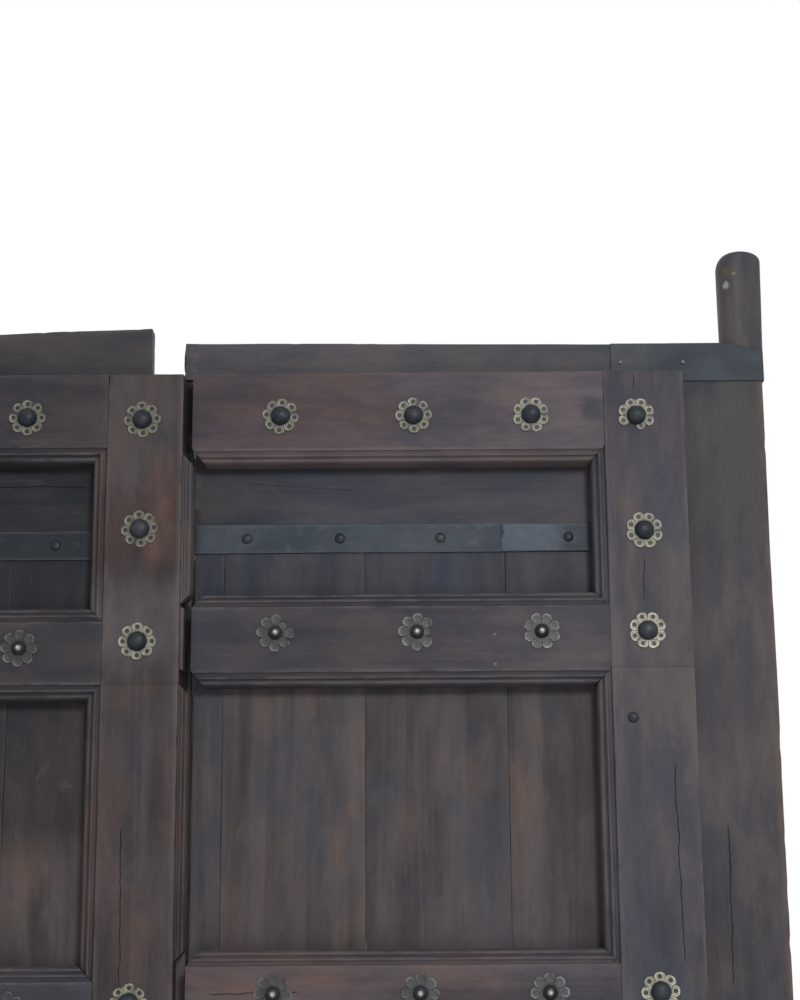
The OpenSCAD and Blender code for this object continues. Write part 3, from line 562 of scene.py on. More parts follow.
# Foot boards and vertical planks: sawn hardwood, set edge to edge between head and foot with open seams and nailed to
# the ledges behind. The meeting plank is the last one of each leaf; the left one is pared where the rail reaches past.
def islands(node):
    """The boxes of the separate solids in a CAD node."""
    loose = bmesh.new()
    loose.from_mesh(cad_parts[node].data)
    bmesh.ops.remove_doubles(loose, verts=loose.verts, dist=0.00001)
    seen_verts, boxes = set(), []
    for vert in loose.verts:
        if vert in seen_verts:
            continue
        stack, members = [vert], []
        seen_verts.add(vert)
        while stack:
            at = stack.pop()
            members.append(at.co)
            for edge in at.link_edges:
                other = edge.other_vert(at)
                if other not in seen_verts:
                    seen_verts.add(other)
                    stack.append(other)
        cloud = np.array([tuple(c) for c in members])
        boxes.append((Vector(cloud.min(0)), Vector(cloud.max(0))))
    loose.free()
    return boxes


def sawn(node, along, finish, body, radius=0.0016, wear_and_light=1.0):
    """Plain planks in place of all the solids of a CAD node, with their grain along X or Z."""
    step, spacing, wander, sweeps = 0.014, 0.012, 0.0006, []
    for low, high in islands(node):
        if along == "X":
            outline = worn_outline(low.y, high.y, low.z, high.z, radius, spacing)
            rings = rings_along("X", outline[0], low.x, high.x, step, radius)
        else:
            outline = worn_outline(low.x, high.x, low.y, high.y, radius, spacing)
            rings = rings_along("Z", outline[0], low.z, high.z, step, radius)
        sweeps.append((rings, outline[1] * wear_and_light, outline[2]))
    hewn(node + "_timber", sweeps, finish, body, [node], wander)


plank_timber = old_timber(
    "plank_timber", "Z", dark=(0.056, 0.046, 0.047), light=(0.104, 0.087, 0.086), red=(0.116, 0.080, 0.069),
    bloom=(0.076, 0.077, 0.090), worn=(0.150, 0.126, 0.112), red_share=0.6, bloom_share=0.5, shift=(2.2, 0.0, 7.7),
    # Zones: a darker, bluish band low in the first panel, and painted shadow of the cover post over the left leaf.
    zones=[(-1.0, 1.0, 1.80, 1.95, 0.03, (0.044, 0.048, 0.061), 0.8),
           (-0.42, -0.08, 1.5, 2.10, 0.08, (0.024, 0.024, 0.029), 0.75)],
    cracks=[(1.70, 1.36, 0.33, 0.334, 0.0010), (0.88, 0.62, -0.20, -0.204, 0.0011)])
grey_plank_timber = old_timber(
    "grey_plank_timber", "Z", dark=(0.053, 0.046, 0.049), light=(0.098, 0.085, 0.088), red=(0.108, 0.078, 0.069),
    bloom=(0.074, 0.076, 0.090), worn=(0.145, 0.124, 0.112), red_share=0.5, bloom_share=0.6, shift=(5.0, 1.1, 0.4),
    # Zones: the same darker band low in the first panel; painted shadow in the slot behind the ends of the first and
    # second rails and a painted lighter strip in the slot between them; a bluish patch; painted shadow of the cover
    # post over the left leaf.
    zones=[(-1.0, 1.0, 1.80, 1.95, 0.03, (0.044, 0.048, 0.062), 0.8),
           (-0.03, 0.003, 2.045, 2.17, 0.003, (0.008, 0.008, 0.009), 0.92),
           (-0.03, 0.003, 1.69, 1.824, 0.003, (0.008, 0.008, 0.009), 0.92),
           (-0.03, 0.003, 1.832, 2.03, 0.004, (0.130, 0.112, 0.116), 0.7),
           (0.335, 0.392, 1.845, 1.905, 0.024, (0.044, 0.058, 0.084), 0.55),
           (-0.42, -0.08, 1.5, 2.10, 0.08, (0.024, 0.024, 0.029), 0.75)])
edge_rub = 0.15
for side_name, body_name, _ in leaves:
    sawn(side_name + "_foot_board", "X", board_timber, body_name)
    for number, finish in ((1, plank_timber), (2, grey_plank_timber), (3, plank_timber)):
        sawn(f"{side_name}_plank_{number}", "Z", finish, body_name, radius=0.0005, wear_and_light=edge_rub)
sawn("right_meeting_plank", "Z", grey_plank_timber, "right_leaf", radius=0.0008, wear_and_light=edge_rub)
low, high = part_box("left_meeting_plank")
pared_foot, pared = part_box("right_rail_1")[0].z + 0.0165, 0.0023
plank_sweeps = []
for foot, top, edge in ((low.z, pared_foot, high.x), (pared_foot - 0.001, high.z, high.x - pared)):
    outline = worn_outline(low.x, edge, low.y, high.y, radius=0.0008, spacing=0.012)
    plank_sweeps.append(swept("Z", outline, foot, top, step=0.014, radius=0.0008))
hewn("left_meeting_plank_timber", plank_sweeps, grey_plank_timber, "left_leaf", ["left_meeting_plank"])


# Back ledges: plain sawn battens that hold the planks of a leaf together. They are nailed across them from behind,
# paler and drier than the front.
ledge_timber = old_timber(
    "ledge_timber", "X", dark=(0.070, 0.054, 0.046), light=(0.130, 0.102, 0.086), red=(0.125, 0.085, 0.064),
    bloom=(0.115, 0.110, 0.108), worn=(0.17, 0.135, 0.11), red_share=0.5, bloom_share=0.5, shift=(6.1, 0.2, 3.3))
for side_name, body_name, _ in leaves:
    sawn(side_name + "_back_ledges", "X", ledge_timber, body_name, radius=0.0025)


# Rails: the cross timbers of the applied frame. A quirk, a bead and an ovolo are stuck along each edge that looks
# into a panel, and the mouldings are mitred into those of the uprights.
mould = 0.020


def moulded_edge(width=20.0):
    """Shallow quirk, bead and ovolo as (out from the face line, depth, arris, hollow), planks to face, in mm."""
    full = 20.0
    # The hollow weights paint shade into the quirks and under the ovolo at the foot.
    points = [(20, 42, 0, 0.3), (20, 32, 0, 0), (20, 16.0, 0.2, 0), (19.6, 12.2, 0.3, 0), (18.6, 9.2, 0.4, 0),
              (17.2, 7.2, 0.5, 0), (15.6, 6.2, 0.7, 0), (14.4, 6.0, 0.7, 0), (13.7, 6.5, 0.1, 0.3),
              (12.6, 7.2, 0, 0.6), (11.4, 6.8, 0, 0.5), (10.7, 5.0, 0.1, 0.2), (10.2, 3.4, 0.4, 0),
              (9.3, 2.1, 0.6, 0), (8.0, 1.5, 0.6, 0), (6.8, 1.8, 0.5, 0), (6.0, 2.7, 0.2, 0.1), (5.2, 3.8, 0, 0.35),
              (3.8, 4.2, 0, 0.45), (2.0, 3.8, 0, 0.45), (0.9, 2.6, 0, 0.3), (0.35, 1.4, 0.4, 0.1),
              (-0.3, 0.35, 1, 0), (-1.4, 0.0, 0.6, 0), (-5.0, 0.0, 0.1, 0)]
    return [(full - width + out * width / full if out > 0 else out + full - width, deep, arris, hollow)
            for out, deep, arris, hollow in points]


def plain_edge():
    """Square edge with a worn arris, in the same form; its hollow weight paints shade at the foot."""
    return [(0, 42, 0, 0.5), (0, 30, 0, 0), (0, 15, 0, 0), (0, 1.4, 0.6, 0), (-0.4, 0.4, 1, 0), (-1.4, 0, 0.6, 0),
            (-5.0, 0.0, 0.1, 0)]


def rail_outline(foot, top, lower, upper, face_y, lower_width):
    """Section of a rail, moulded or plain at its lower and upper edge; out is how far each point lies in a moulding."""
    face_foot, face_top = foot + (mould if lower else 0), top - (mould if upper else 0)
    below = [(face_y + d / 1000, face_foot - u / 1000, a, h)
             for u, d, a, h in (moulded_edge(lower_width) if lower else plain_edge())]
    over = [(face_y + d / 1000, face_top + u / 1000, a, h)
            for u, d, a, h in (moulded_edge() if upper else plain_edge())]
    first, last = below[-1][1], over[-1][1]
    parts = max(2, round((last - first) / 0.008))
    face = [(face_y, first + (last - first) * k / parts, 0, 0) for k in range(1, parts)]
    table = np.array(below + face + over[::-1])
    out = np.clip(np.maximum(face_foot - table[:, 1], table[:, 1] - face_top), 0, mould) / mould
    return table[:, :2], table[:, 2], table[:, 3], out


rail_timber = old_timber(
    "rail_timber", "X", dark=(0.062, 0.050, 0.056), light=(0.104, 0.088, 0.097), red=(0.112, 0.077, 0.073),
    bloom=(0.092, 0.086, 0.104), worn=(0.150, 0.124, 0.120), red_share=0.75, bloom_share=0.55, shift=(1.2, 3.3, 0.8),
    # Zones: darker and redder at the left end and lighter at the right, partly tone and partly a painted light
    # gradient; painted light on the lower moulding of the first rail; two bluish patches.
    zones=[(-0.05, 0.27, 2.0, 2.2, 0.10, (0.078, 0.056, 0.058), 0.6),
           (0.30, 0.44, 2.03, 2.10, 0.06, (0.066, 0.066, 0.086), 0.5),
           (0.45, 0.62, 2.00, 2.20, 0.12, (0.132, 0.108, 0.114), 0.65),
           (-0.05, 0.65, 1.98, 2.041, 0.004, (0.128, 0.104, 0.108), 0.6),
           (0.553, 0.581, 2.080, 2.112, 0.014, (0.046, 0.046, 0.064), 0.65)],
    cracks=[(0.03, 0.16, 1.297, 1.299, 0.0009)])
dark_rail_timber = old_timber(
    "dark_rail_timber", "X", dark=(0.050, 0.044, 0.050), light=(0.086, 0.076, 0.086), red=(0.092, 0.067, 0.066),
    bloom=(0.076, 0.074, 0.090), worn=(0.150, 0.145, 0.150), red_share=0.55, bloom_share=0.6, shift=(4.4, 0.6, 2.9),
    # Zones: darker at the left end and lighter at the right end of the second rail, partly tone and partly a painted
    # light gradient; painted shade over the left leaf's rails.
    zones=[(-0.02, 0.28, 1.7, 1.85, 0.14, (0.046, 0.043, 0.050), 0.55),
           (0.40, 0.62, 1.7, 1.85, 0.10, (0.108, 0.092, 0.098), 0.58),
           (-0.42, -0.08, 1.6, 2.3, 0.08, (0.036, 0.032, 0.034), 0.6)],
    cracks=[(-0.55, -0.36, 1.300, 1.302, 0.0010), (0.22, 0.40, 0.985, 0.983, 0.0009)],
    specks=[((0.4235, -0.072, 1.7745), 0.0028, (0.19, 0.18, 0.17)),
            ((0.4240, -0.072, 1.7335), 0.0024, (0.24, 0.23, 0.22))])
hangs = {"right_rail_1": (0.0032, 16.5), "right_rail_2": (0.0015, 17.5)}
reaches = {"right_rail_1": 0.0035}
free_mitre = 0.017
for side_name, body_name, _ in leaves:
    for number in range(1, 7):
        node = f"{side_name}_rail_{number}"
        low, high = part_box(node)
        hang, lower_width = hangs.get(node, (0.0, 20.0))
        outline, arris, hollow, out = rail_outline(low.z - hang, high.z, number < 6, number > 1, low.y, lower_width)
        starts = low.x - reaches.get(node, 0.0) + out * (free_mitre if side_name == "right" else mould)
        ends = high.x - out * mould
        rings = rings_along("X", outline, starts, ends, step=0.011, radius=0.0011)
        paint = rail_timber if side_name == "right" and number in (1, 3, 5) else dark_rail_timber
        hewn(node + "_timber", [(rings, arris, hollow)], paint, body_name, [node],
             wander=0.0005, chips=0.0026)


# Uprights: the hinge-side posts of the applied frame in three lengths each, butted end to end and studded to the
# planks, with the same moulding stuck along every panel.
def panel_strip(edge_x, outwards, width, foot, top, face_y):
    """Moulding along one panel, mitred at both ends; outwards is +1 or -1 along x."""
    squeeze = width / mould
    face_side = [p for p in moulded_edge() if p[0] > 0.3 and p[1] > 1.3]
    # The two closing points lie in the corner against the post, where the hollow weight paints shade.
    table = np.array(face_side + [(-1.0, 5.6, 0, 1), (-1.0, 42, 0, 0)])
    out = np.clip(table[:, 0] * squeeze, 0, width * 1000) / 1000
    outline = np.column_stack((edge_x + outwards * table[:, 0] * squeeze / 1000, face_y + table[:, 1] / 1000))
    rings = rings_along("Z", outline, foot - width + out, top + width - out, step=0.011, radius=0.0006)
    return rings, table[:, 2], table[:, 3]


def panels_of(side_name, numbers):
    """Foot and top of the panels below the rails of these numbers."""
    return [(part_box(f"{side_name}_rail_{n + 1}")[1].z,
             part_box(f"{side_name}_rail_{n}")[0].z - hangs.get(f"{side_name}_rail_{n}", (0.0,))[0]) for n in numbers]


upright_timber = old_timber(
    "upright_timber", "Z", dark=(0.060, 0.056, 0.064), light=(0.096, 0.089, 0.100), red=(0.106, 0.079, 0.074),
    bloom=(0.082, 0.083, 0.103), worn=(0.150, 0.126, 0.118), red_share=0.5, bloom_share=0.7, shift=(0.6, 5.1, 2.7),
    # Zones: darker at the head and lighter low down, a painted light gradient; a reddish patch.
    zones=[(0.5, 0.8, 1.99, 2.16, 0.10, (0.057, 0.054, 0.068), 0.65),
           (0.60, 0.64, 1.83, 1.96, 0.04, (0.112, 0.080, 0.080), 0.5),
           (0.5, 0.8, 1.40, 1.78, 0.12, (0.106, 0.094, 0.101), 0.5)],
    cracks=[(2.151, 2.122, 0.6267, 0.6256, 0.0008), (1.884, 1.815, 0.6328, 0.6305, 0.0009),
            (1.60, 1.33, 0.664, 0.668, 0.0010), (1.40, 1.10, -0.64, -0.645, 0.0011)])
upright_panels = {"top": (1,), "middle": (2, 3), "foot": (4, 5)}
for side_name, body_name, out in leaves:
    for length, numbers in upright_panels.items():
        node = f"{side_name}_upright_{length}"
        low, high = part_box(node)
        inner, outer = edges_of(node, out)
        inner += out * mould
        outline = worn_outline(inner, outer, low.y, high.y, radius=0.0014, spacing=0.010)
        sweeps = [swept("Z", outline, low.z, high.z, step=0.011, radius=0.0009)]
        for foot, top in panels_of(side_name, numbers):
            sweeps.append(panel_strip(inner, -out, mould, foot, top, low.y))
        hewn(node + "_timber", sweeps, upright_timber, body_name, [node], wander=0.0005, chips=0.0026)


# Cover post: the heavy upright on the left leaf that hides the gap between the leaves, moulded towards the panels
# on both sides and made in three lengths like the uprights. Beside the second rail a plain fillet stands in its edge.
cover_mould, cover_quirk_shade = 0.014, 0.25
fillet_wide, fillet_back, fillet_foot, fillet_top = 0.0048, 0.011, 0.022, 0.018
cover_timber = old_timber(
    "cover_timber", "Z", dark=(0.046, 0.037, 0.038), light=(0.080, 0.067, 0.069), red=(0.090, 0.059, 0.053),
    bloom=(0.070, 0.068, 0.079), worn=(0.135, 0.110, 0.100), red_share=0.7, bloom_share=0.55, shift=(8.3, 1.6, 0.9),
    # Zones: darker and redder in the middle, duller at the head, a reddish patch and lighter at the foot; the lighter
    # strip along the right edge, in the slot, is painted light.
    zones=[(-0.2, 0.1, 1.86, 1.99, 0.08, (0.045, 0.032, 0.031), 0.78),
           (-0.2, 0.1, 2.03, 2.20, 0.06, (0.066, 0.059, 0.061), 0.5),
           (-0.055, -0.02, 1.88, 2.04, 0.03, (0.110, 0.068, 0.060), 0.6),
           (-0.2, 0.1, 1.74, 1.84, 0.06, (0.112, 0.098, 0.102), 0.7),
           (-0.0118, 0.01, 1.80, 2.06, 0.002, (0.128, 0.110, 0.114), 0.75)],
    cracks=[(1.52, 1.22, -0.085, -0.082, 0.0010)])
for length, numbers in upright_panels.items():
    node = "cover_post_" + length
    low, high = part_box(node)
    left, right = low.x + mould, high.x - cover_mould
    outline = worn_outline(left, right, low.y, high.y, radius=0.0016, spacing=0.010)
    sweeps = [swept("Z", outline, low.z, high.z, step=0.011, radius=0.0009)]
    for foot, top in panels_of("left", numbers):
        sweeps.append(panel_strip(left, -1, mould, foot, top, low.y))
    for foot, top in panels_of("right", numbers):
        rings, arris, hollow = panel_strip(right, 1, cover_mould, max(foot, low.z + cover_mould),
                                           min(top, high.z - cover_mould), low.y)
        # Painted shade in the quirks of the strips towards the right leaf is kept to a quarter.
        sweeps.append((rings, arris, hollow * cover_quirk_shade))
    if length == "top":
        rail_low, rail_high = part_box("right_rail_2")
        fillet = worn_outline(right - 0.001, right + fillet_wide, low.y + fillet_back, high.y,
                              radius=0.0008, spacing=0.010)
        sweeps.append(swept("Z", fillet, rail_low.z + fillet_foot, rail_high.z - fillet_top, step=0.011, radius=0.0008))
    hewn(node + "_timber", sweeps, cover_timber, "left_leaf", [node], wander=0.0005, chips=0.0026)


# Straps: flat forged iron, 3 mm thick, nailed across the short panels over the seam between board and planks.
# Each is made of two lengths that lap by 30 mm.
strap_iron = forged_iron(
    "strap_iron", dark=(0.026, 0.034, 0.048), light=(0.052, 0.063, 0.080), rust=(0.062, 0.052, 0.049),
    rust_share=0.6, edge=(0.088, 0.097, 0.111), shine=0.1, roughness=0.58, dents=0.5, flake_share=0.6,
    # The outer length is paler and bluer, its end darker; on the left leaf the strap is darkened as painted shadow of
    # the cover post.
    bright=[(0.437, 0.533, 1.88, 1.95, (0.078, 0.096, 0.126)),
            (0.535, 0.70, 1.88, 1.95, (0.034, 0.042, 0.054)),
            (-0.40, -0.08, 1.80, 1.96, (0.010, 0.014, 0.019))])
lap_at, lower_lap_in, lap_length, lap_lift, lap_narrower = 0.4365, 0.12, 0.030, 0.0011, 0.0007
for side_name, body_name, out in leaves:
    for place_name in ("top", "middle", "foot"):
        node = f"{side_name}_strap_{place_name}"
        low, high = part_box(node)
        sweeps = []
        lap = out * (lap_at if place_name == "top" else lap_at - lower_lap_in)
        near, far = (low.x, lap + lap_length), (lap, high.x)
        if out < 0:
            near, far = (lap - lap_length, high.x), (low.x, lap)
        for (start, end), lift, shrink in ((near, 0.0, 0.0), (far, lap_lift, lap_narrower)):
            outline = worn_outline(low.y - lift, high.y, low.z + shrink, high.z - shrink, radius=0.0006, spacing=0.006)
            sweeps.append(swept("X", outline, start, end, step=0.008, radius=0.0005))
        hewn(node + "_iron", sweeps, strap_iron, body_name, [node], wander=0.0004, chips=0.0015)


# Corner irons: wider forged bands, dark and slightly bluish, that keep the pivot plank from splitting. They are bent
# round its outer edge at head and foot and nailed on; in front they run on over the boards.
corner_iron = forged_iron(
    "corner_iron", dark=(0.026, 0.034, 0.042), light=(0.048, 0.060, 0.074), rust=(0.052, 0.046, 0.046),
    rust_share=0.7, edge=(0.050, 0.058, 0.068), shine=0.1, roughness=0.62, dents=0.5,
    bright=[(0.55, 0.670, 2.14, 2.22, (0.064, 0.066, 0.075))])


def bent_band(front_from, outer, back_from, foot_of, top_of, front, behind, steps_at=()):
    """Rings of a band that runs along the front, round the outer edge and back along the rear of a plank."""
    out, bend = (1 if outer > 0 else -1), 0.0008
    turns = [(math.sin(a), math.cos(a)) for a in np.linspace(0.3, math.pi / 2, 5)]
    stops = sorted(set(list(np.linspace(abs(front_from), abs(outer) - bend, 26)) + [abs(s) for s in steps_at]))
    path = [(out * x, front, 0.0, -1.0) for x in stops]
    path += [(outer + out * bend * (s - 1), front + bend * (1 - c), out * s, -c) for s, c in turns]
    path += [(outer, y, float(out), 0.0) for y in np.linspace(front + bend, behind - bend, 7)[1:]]
    path += [(outer + out * bend * (c - 1), behind + bend * (s - 1), out * c, s) for s, c in turns]
    path += [(out * x, behind, 0.0, 1.0) for x in np.linspace(abs(outer) - bend, abs(back_from), 18)[1:]]
    nominal = 0.05
    section = worn_outline(0, iron_thick, 0, nominal, radius=0.0006, spacing=0.007)
    reach, rise = section[0][:, 0], section[0][:, 1] / nominal
    rings = []
    for x, y, nx, ny in path:
        foot, top = foot_of(abs(x + nx * iron_thick)), top_of(abs(x + nx * iron_thick))
        rings.append(np.column_stack((x + nx * reach, y + ny * reach, foot + rise * (top - foot))))
    return (np.array(rings),) + section[1:]


clear, foot_step = 0.0003, 0.004
for side_name, body_name, out in leaves:
    low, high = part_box(side_name + "_corner_irons")
    start, edge = [abs(x) for x in edges_of(side_name + "_corner_irons", out)]
    front, behind = low.y + iron_thick, high.y - iron_thick
    back_from = abs(edges_of(side_name + "_pivot_plank", out)[0])
    frame_top, frame_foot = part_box(side_name + "_rail_1")[1].z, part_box(side_name + "_rail_6")[0].z
    upright_edge = abs(edges_of(side_name + "_upright_top", out)[1]) + clear
    slope_from = edge - slope_length

    def head_foot(x):
        return frame_top + clear if x < upright_edge else frame_top - foot_step

    def head_top(x):
        return high.z - top_slope * max(0.0, (x - slope_from) / (edge - slope_from))

    run = (out * start, out * (edge - iron_thick), out * back_from)
    bands = [bent_band(*run, head_foot, head_top, front, behind, (upright_edge - 0.0001, upright_edge + 0.0001)),
             bent_band(*run, lambda x: low.z, lambda x: frame_foot - clear, front, behind)]
    hewn(side_name + "_corner_bands", bands, corner_iron, body_name, [side_name + "_corner_irons"],
         wander=0.0003, chips=0.001)


# Rosettes: thin brass plates cut and stamped into eight petals, each held by one stud. Those on the first rail, the
# uprights and the cover post are pierced and still pale; those on the other rails are plain and tarnished.
def old_brass(name, bright, dull, rim, grime_and_shade, eye_share, side_rim, dimmed, shine, roughness):
    """Stamped brass: dull in the field; pale rims, part worn brass and part painted highlight; darker in the slits,
    round the stud and in dirty patches; eyes painted near black as holes in shade; darker towards the cover post
    and high up, partly a painted light gradient.
    """
    finish, tree, place, part = new_finish(name)
    sums, times, plus, less, rest, most, blend, grain, step, band = links(tree)
    patina = grain(place, (70.0, 70.0, 70.0), 4.0, 0.6)
    spots = grain(place, (520.0, 520.0, 520.0), 3.0, 0.55)
    over = put(tree, "ShaderNodeAttribute", attribute_name="across").outputs["Fac"]
    along = put(tree, "ShaderNodeAttribute", attribute_name="along").outputs["Fac"]
    off = sums("ABSOLUTE", over)
    colour = blend(step(plus(times(patina, 0.6), times(spots, 0.4)), 0.40, 0.62), dull, bright)
    # Pale rims, part worn brass and part painted highlight; the ring round each eye is painted the same.
    edge = most(times(step(off, 0.55, 0.80), side_rim), step(along, 0.78, 0.94))
    colour = blend(times(edge, times(step(patina, 0.36, 0.56), 0.8)), colour, rim)
    # Darker in the slits between petals and round the stud, and in dirty patches.
    slit = most(step(off, 0.90, 1.0), rest(step(along, 0.10, 0.34)))
    dark_slits_and_patches = most(slit, step(plus(patina, times(spots, 0.3)), 0.74, 0.86))
    colour = blend(times(dark_slits_and_patches, 0.65), colour, grime_and_shade)
    # The eyes are painted near black as holes in shade.
    wide = sums("DIVIDE", over, 0.40)
    tall = sums("DIVIDE", less(along, 0.64), 0.19)
    round_off = sums("SQRT", plus(times(wide, wide), times(tall, tall)))
    eye = times(rest(step(round_off, 0.88, 1.12)), eye_share)
    collar = times(band(round_off, (0.95, 1.15), (1.35, 1.7)), eye_share * 0.6)
    colour = blend(collar, colour, rim)
    colour = blend(eye, colour, grime_and_shade)
    # Darker towards the cover post and above the second rail, brighter low down and away from it: partly a painted
    # light gradient.
    from_post = times(sums("ABSOLUTE", plus(part["X"], 0.069)), 0.38)
    lower_down = times(rest(step(part["Z"], 1.79, 1.90)), 0.30)
    wear_and_light = plus(plus(from_post, lower_down), 0.35)
    brightness_by_place = put(tree, "ShaderNodeClamp", {0: wear_and_light, 1: 0.0, 2: 1.0}).outputs[0]
    colour = blend(times(rest(brightness_by_place), dimmed), colour, (0.0, 0.0, 0.0))
    relief = plus(times(spots, 0.5), times(patina, 0.6))
    relief = less(relief, times(eye, 1.5))
    dress(tree, colour, plus(times(spots, 0.35), roughness - 0.17), relief, 0.4, 0.0006, Metallic=shine)
    return finish


def named_tree(name, sizes):
    """A geometry tree that takes points in, with named inputs for its sizes and its finish, and short ways of adding
    its nodes; each way gives back the socket that it makes, and done gives back the tree."""
    tree = bpy.data.node_groups.new(name, "GeometryNodeTree")
    tree.interface.new_socket("Geometry", in_out="INPUT", socket_type="NodeSocketGeometry")
    tree.interface.new_socket("Geometry", in_out="OUTPUT", socket_type="NodeSocketGeometry")
    for label in sizes:
        tree.interface.new_socket(label, in_out="INPUT", socket_type="NodeSocketFloat")
    tree.interface.new_socket("Finish", in_out="INPUT", socket_type="NodeSocketMaterial")
    given, made = put(tree, "NodeGroupInput").outputs, put(tree, "NodeGroupOutput").inputs

    def make(kind, inputs=None, **settings):
        return put(tree, kind, inputs, **settings).outputs[0]

    def attribute(label, kind="FLOAT"):
        return make("GeometryNodeInputNamedAttribute", {"Name": label}, data_type=kind)

    def keep(geometry, label, value):
        return make("GeometryNodeStoreNamedAttribute", {"Geometry": geometry, "Name": label, "Value": value},
                    data_type="FLOAT", domain="POINT")

    def joined(*pieces):
        whole = put(tree, "GeometryNodeJoinGeometry")
        for piece in pieces:
            tree.links.new(piece, whole.inputs[0])
        return whole.outputs[0]

    def done(geometry):
        coated = make("GeometryNodeSetMaterial", {"Geometry": geometry, "Material": given["Finish"]})
        tree.links.new(coated, made[0])
        return tree

    return tree, given, make, attribute, keep, joined, done


def petal_tree():
    """One petal is a flat grid drawn round where its eye will be, bent into a wedge with a rounded end, raised to a
    plate, dished and sunk at the eye, then set round each centre; a disc closes the middle under the stud."""
    tree, given, make, attribute, keep, joined, done = named_tree("petal_rosette", (
        "Plate Radius", "Petal Root", "Half Angle", "Tip Round", "Plate Rise", "Dish", "Eye"))
    sums, times, plus, less, rest, most = links(tree)[:6]
    cells_wide, cells_long, eye_row, eye_wall, eye_floor = 10, 11, 7, 0.8, 0.0003
    grid = make("GeometryNodeMeshGrid", {"Size X": 2.0, "Size Y": 1.0, "Vertices X": cells_wide + 1,
                                         "Vertices Y": cells_long + 1})
    spot = put(tree, "ShaderNodeSeparateXYZ", {0: make("GeometryNodeInputPosition")}).outputs
    wide = times(spot[0], cells_wide / 2)
    long = less(times(plus(spot[1], 0.5), cells_long), eye_row)
    ring = most(sums("ABSOLUTE", wide), sums("ABSOLUTE", long))
    radius = sums("SQRT", plus(times(wide, wide), times(long, long)))
    near = times(less(2.0, times(ring, 0.5), True), given["Eye"])
    inside = times(sums("LESS_THAN", ring, 1.5), given["Eye"])
    rounder = less(sums("DIVIDE", ring, most(radius, 0.001)), 1.0)
    drawn = times(plus(times(rounder, near), 1.0), plus(times(inside, eye_wall), 1.0))
    sheet = keep(grid, "sunk", inside)
    sheet = keep(sheet, "across", sums("DIVIDE", times(wide, drawn), cells_wide / 2))
    sheet = keep(sheet, "along", sums("DIVIDE", plus(times(long, drawn), eye_row), cells_long))
    across, along, pit = attribute("across"), attribute("along"), attribute("sunk")
    tip = rest(times(sums("POWER", sums("ABSOLUTE", across), 2.6), given["Tip Round"]))
    end = times(given["Plate Radius"], tip)
    reach = plus(given["Petal Root"], times(less(end, given["Petal Root"]), along))
    angle = times(across, given["Half Angle"])
    flat = make("ShaderNodeCombineXYZ", {0: times(reach, sums("SINE", angle)), 1: times(reach, sums("COSINE", angle))})
    wedge = make("GeometryNodeSetPosition", {"Geometry": sheet, "Position": flat})
    plate = put(tree, "GeometryNodeExtrudeMesh", {"Mesh": wedge, "Offset Scale": given["Plate Rise"],
                                                  "Individual": False}, mode="FACES").outputs
    side = rest(times(across, across))
    from_eye = sums("ABSOLUTE", sums("DIVIDE", less(along, 0.64), 0.42))
    middle = rest(sums("POWER", from_eye, 2.0), True)
    dish = times(times(side, middle), times(given["Dish"], -1.0))
    sink = less(times(dish, rest(pit)), times(pit, less(given["Plate Rise"], eye_floor)))
    dished = make("GeometryNodeSetPosition", {"Geometry": plate["Mesh"], "Selection": plate["Top"],
                                              "Offset": make("ShaderNodeCombineXYZ", {2: sink})})
    rear = make("GeometryNodeFlipFaces", {"Mesh": wedge})
    closed = make("GeometryNodeMergeByDistance", {"Geometry": joined(dished, rear), "Distance": 0.00001})
    quarter = (math.pi / 2, 0.0, 0.0)
    petal = make("GeometryNodeTransform", {"Geometry": closed, "Rotation": quarter})
    disc = make("GeometryNodeMeshCone", {
        "Vertices": 24, "Radius Top": times(given["Petal Root"], 1.1),
        "Radius Bottom": times(given["Petal Root"], 1.3), "Depth": times(given["Plate Rise"], 0.8)})
    disc_front = make("GeometryNodeTransform", {"Geometry": disc, "Rotation": quarter})
    centre, outer = [make("FunctionNodeCompare", {0: attribute("centre"), 1: 0.5}, data_type="FLOAT", operation=way)
                     for way in ("GREATER_THAN", "LESS_EQUAL")]
    petals = make("GeometryNodeInstanceOnPoints", {
        "Points": given[0], "Selection": outer, "Instance": petal, "Rotation": attribute("turn", "FLOAT_VECTOR"),
        "Scale": attribute("size", "FLOAT_VECTOR")})
    discs = make("GeometryNodeInstanceOnPoints", {"Points": given[0], "Selection": centre, "Instance": disc_front})
    return done(make("GeometryNodeRealizeInstances", {0: joined(petals, discs)}))


def grown(name, points, attributes, tree, sizes, body, node, slot_name, smooth=38):
    """Runs a tree on the points, keeps its result as a plain mesh at the origin and puts it in place of the node."""
    seeds = bpy.data.meshes.new(name + "_points")
    seeds.from_pydata(points, [], [])
    for label, (kind, values) in attributes.items():
        data = seeds.attributes.new(label, kind, "POINT").data
        data.foreach_set("vector" if kind == "FLOAT_VECTOR" else "value", np.array(values, np.float32).ravel())
    holder = bpy.data.objects.new(name, seeds)
    scene.collection.objects.link(holder)
    modifier = holder.modifiers.new("grown", "NODES")
    modifier.node_group = tree
    for item in tree.interface.items_tree:
        if item.item_type == "SOCKET" and item.in_out == "INPUT" and item.name in sizes:
            modifier[item.identifier] = sizes[item.name]
    bpy.context.view_layer.update()
    finished = bpy.data.meshes.new_from_object(holder.evaluated_get(bpy.context.evaluated_depsgraph_get()))
    holder.modifiers.remove(modifier)
    holder.data = finished
    finished.name = name
    finished.polygons.foreach_set("use_smooth", [True] * len(finished.polygons))
    finished.set_sharp_from_angle(angle=math.radians(smooth))
    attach(holder, body)
    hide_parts(node)


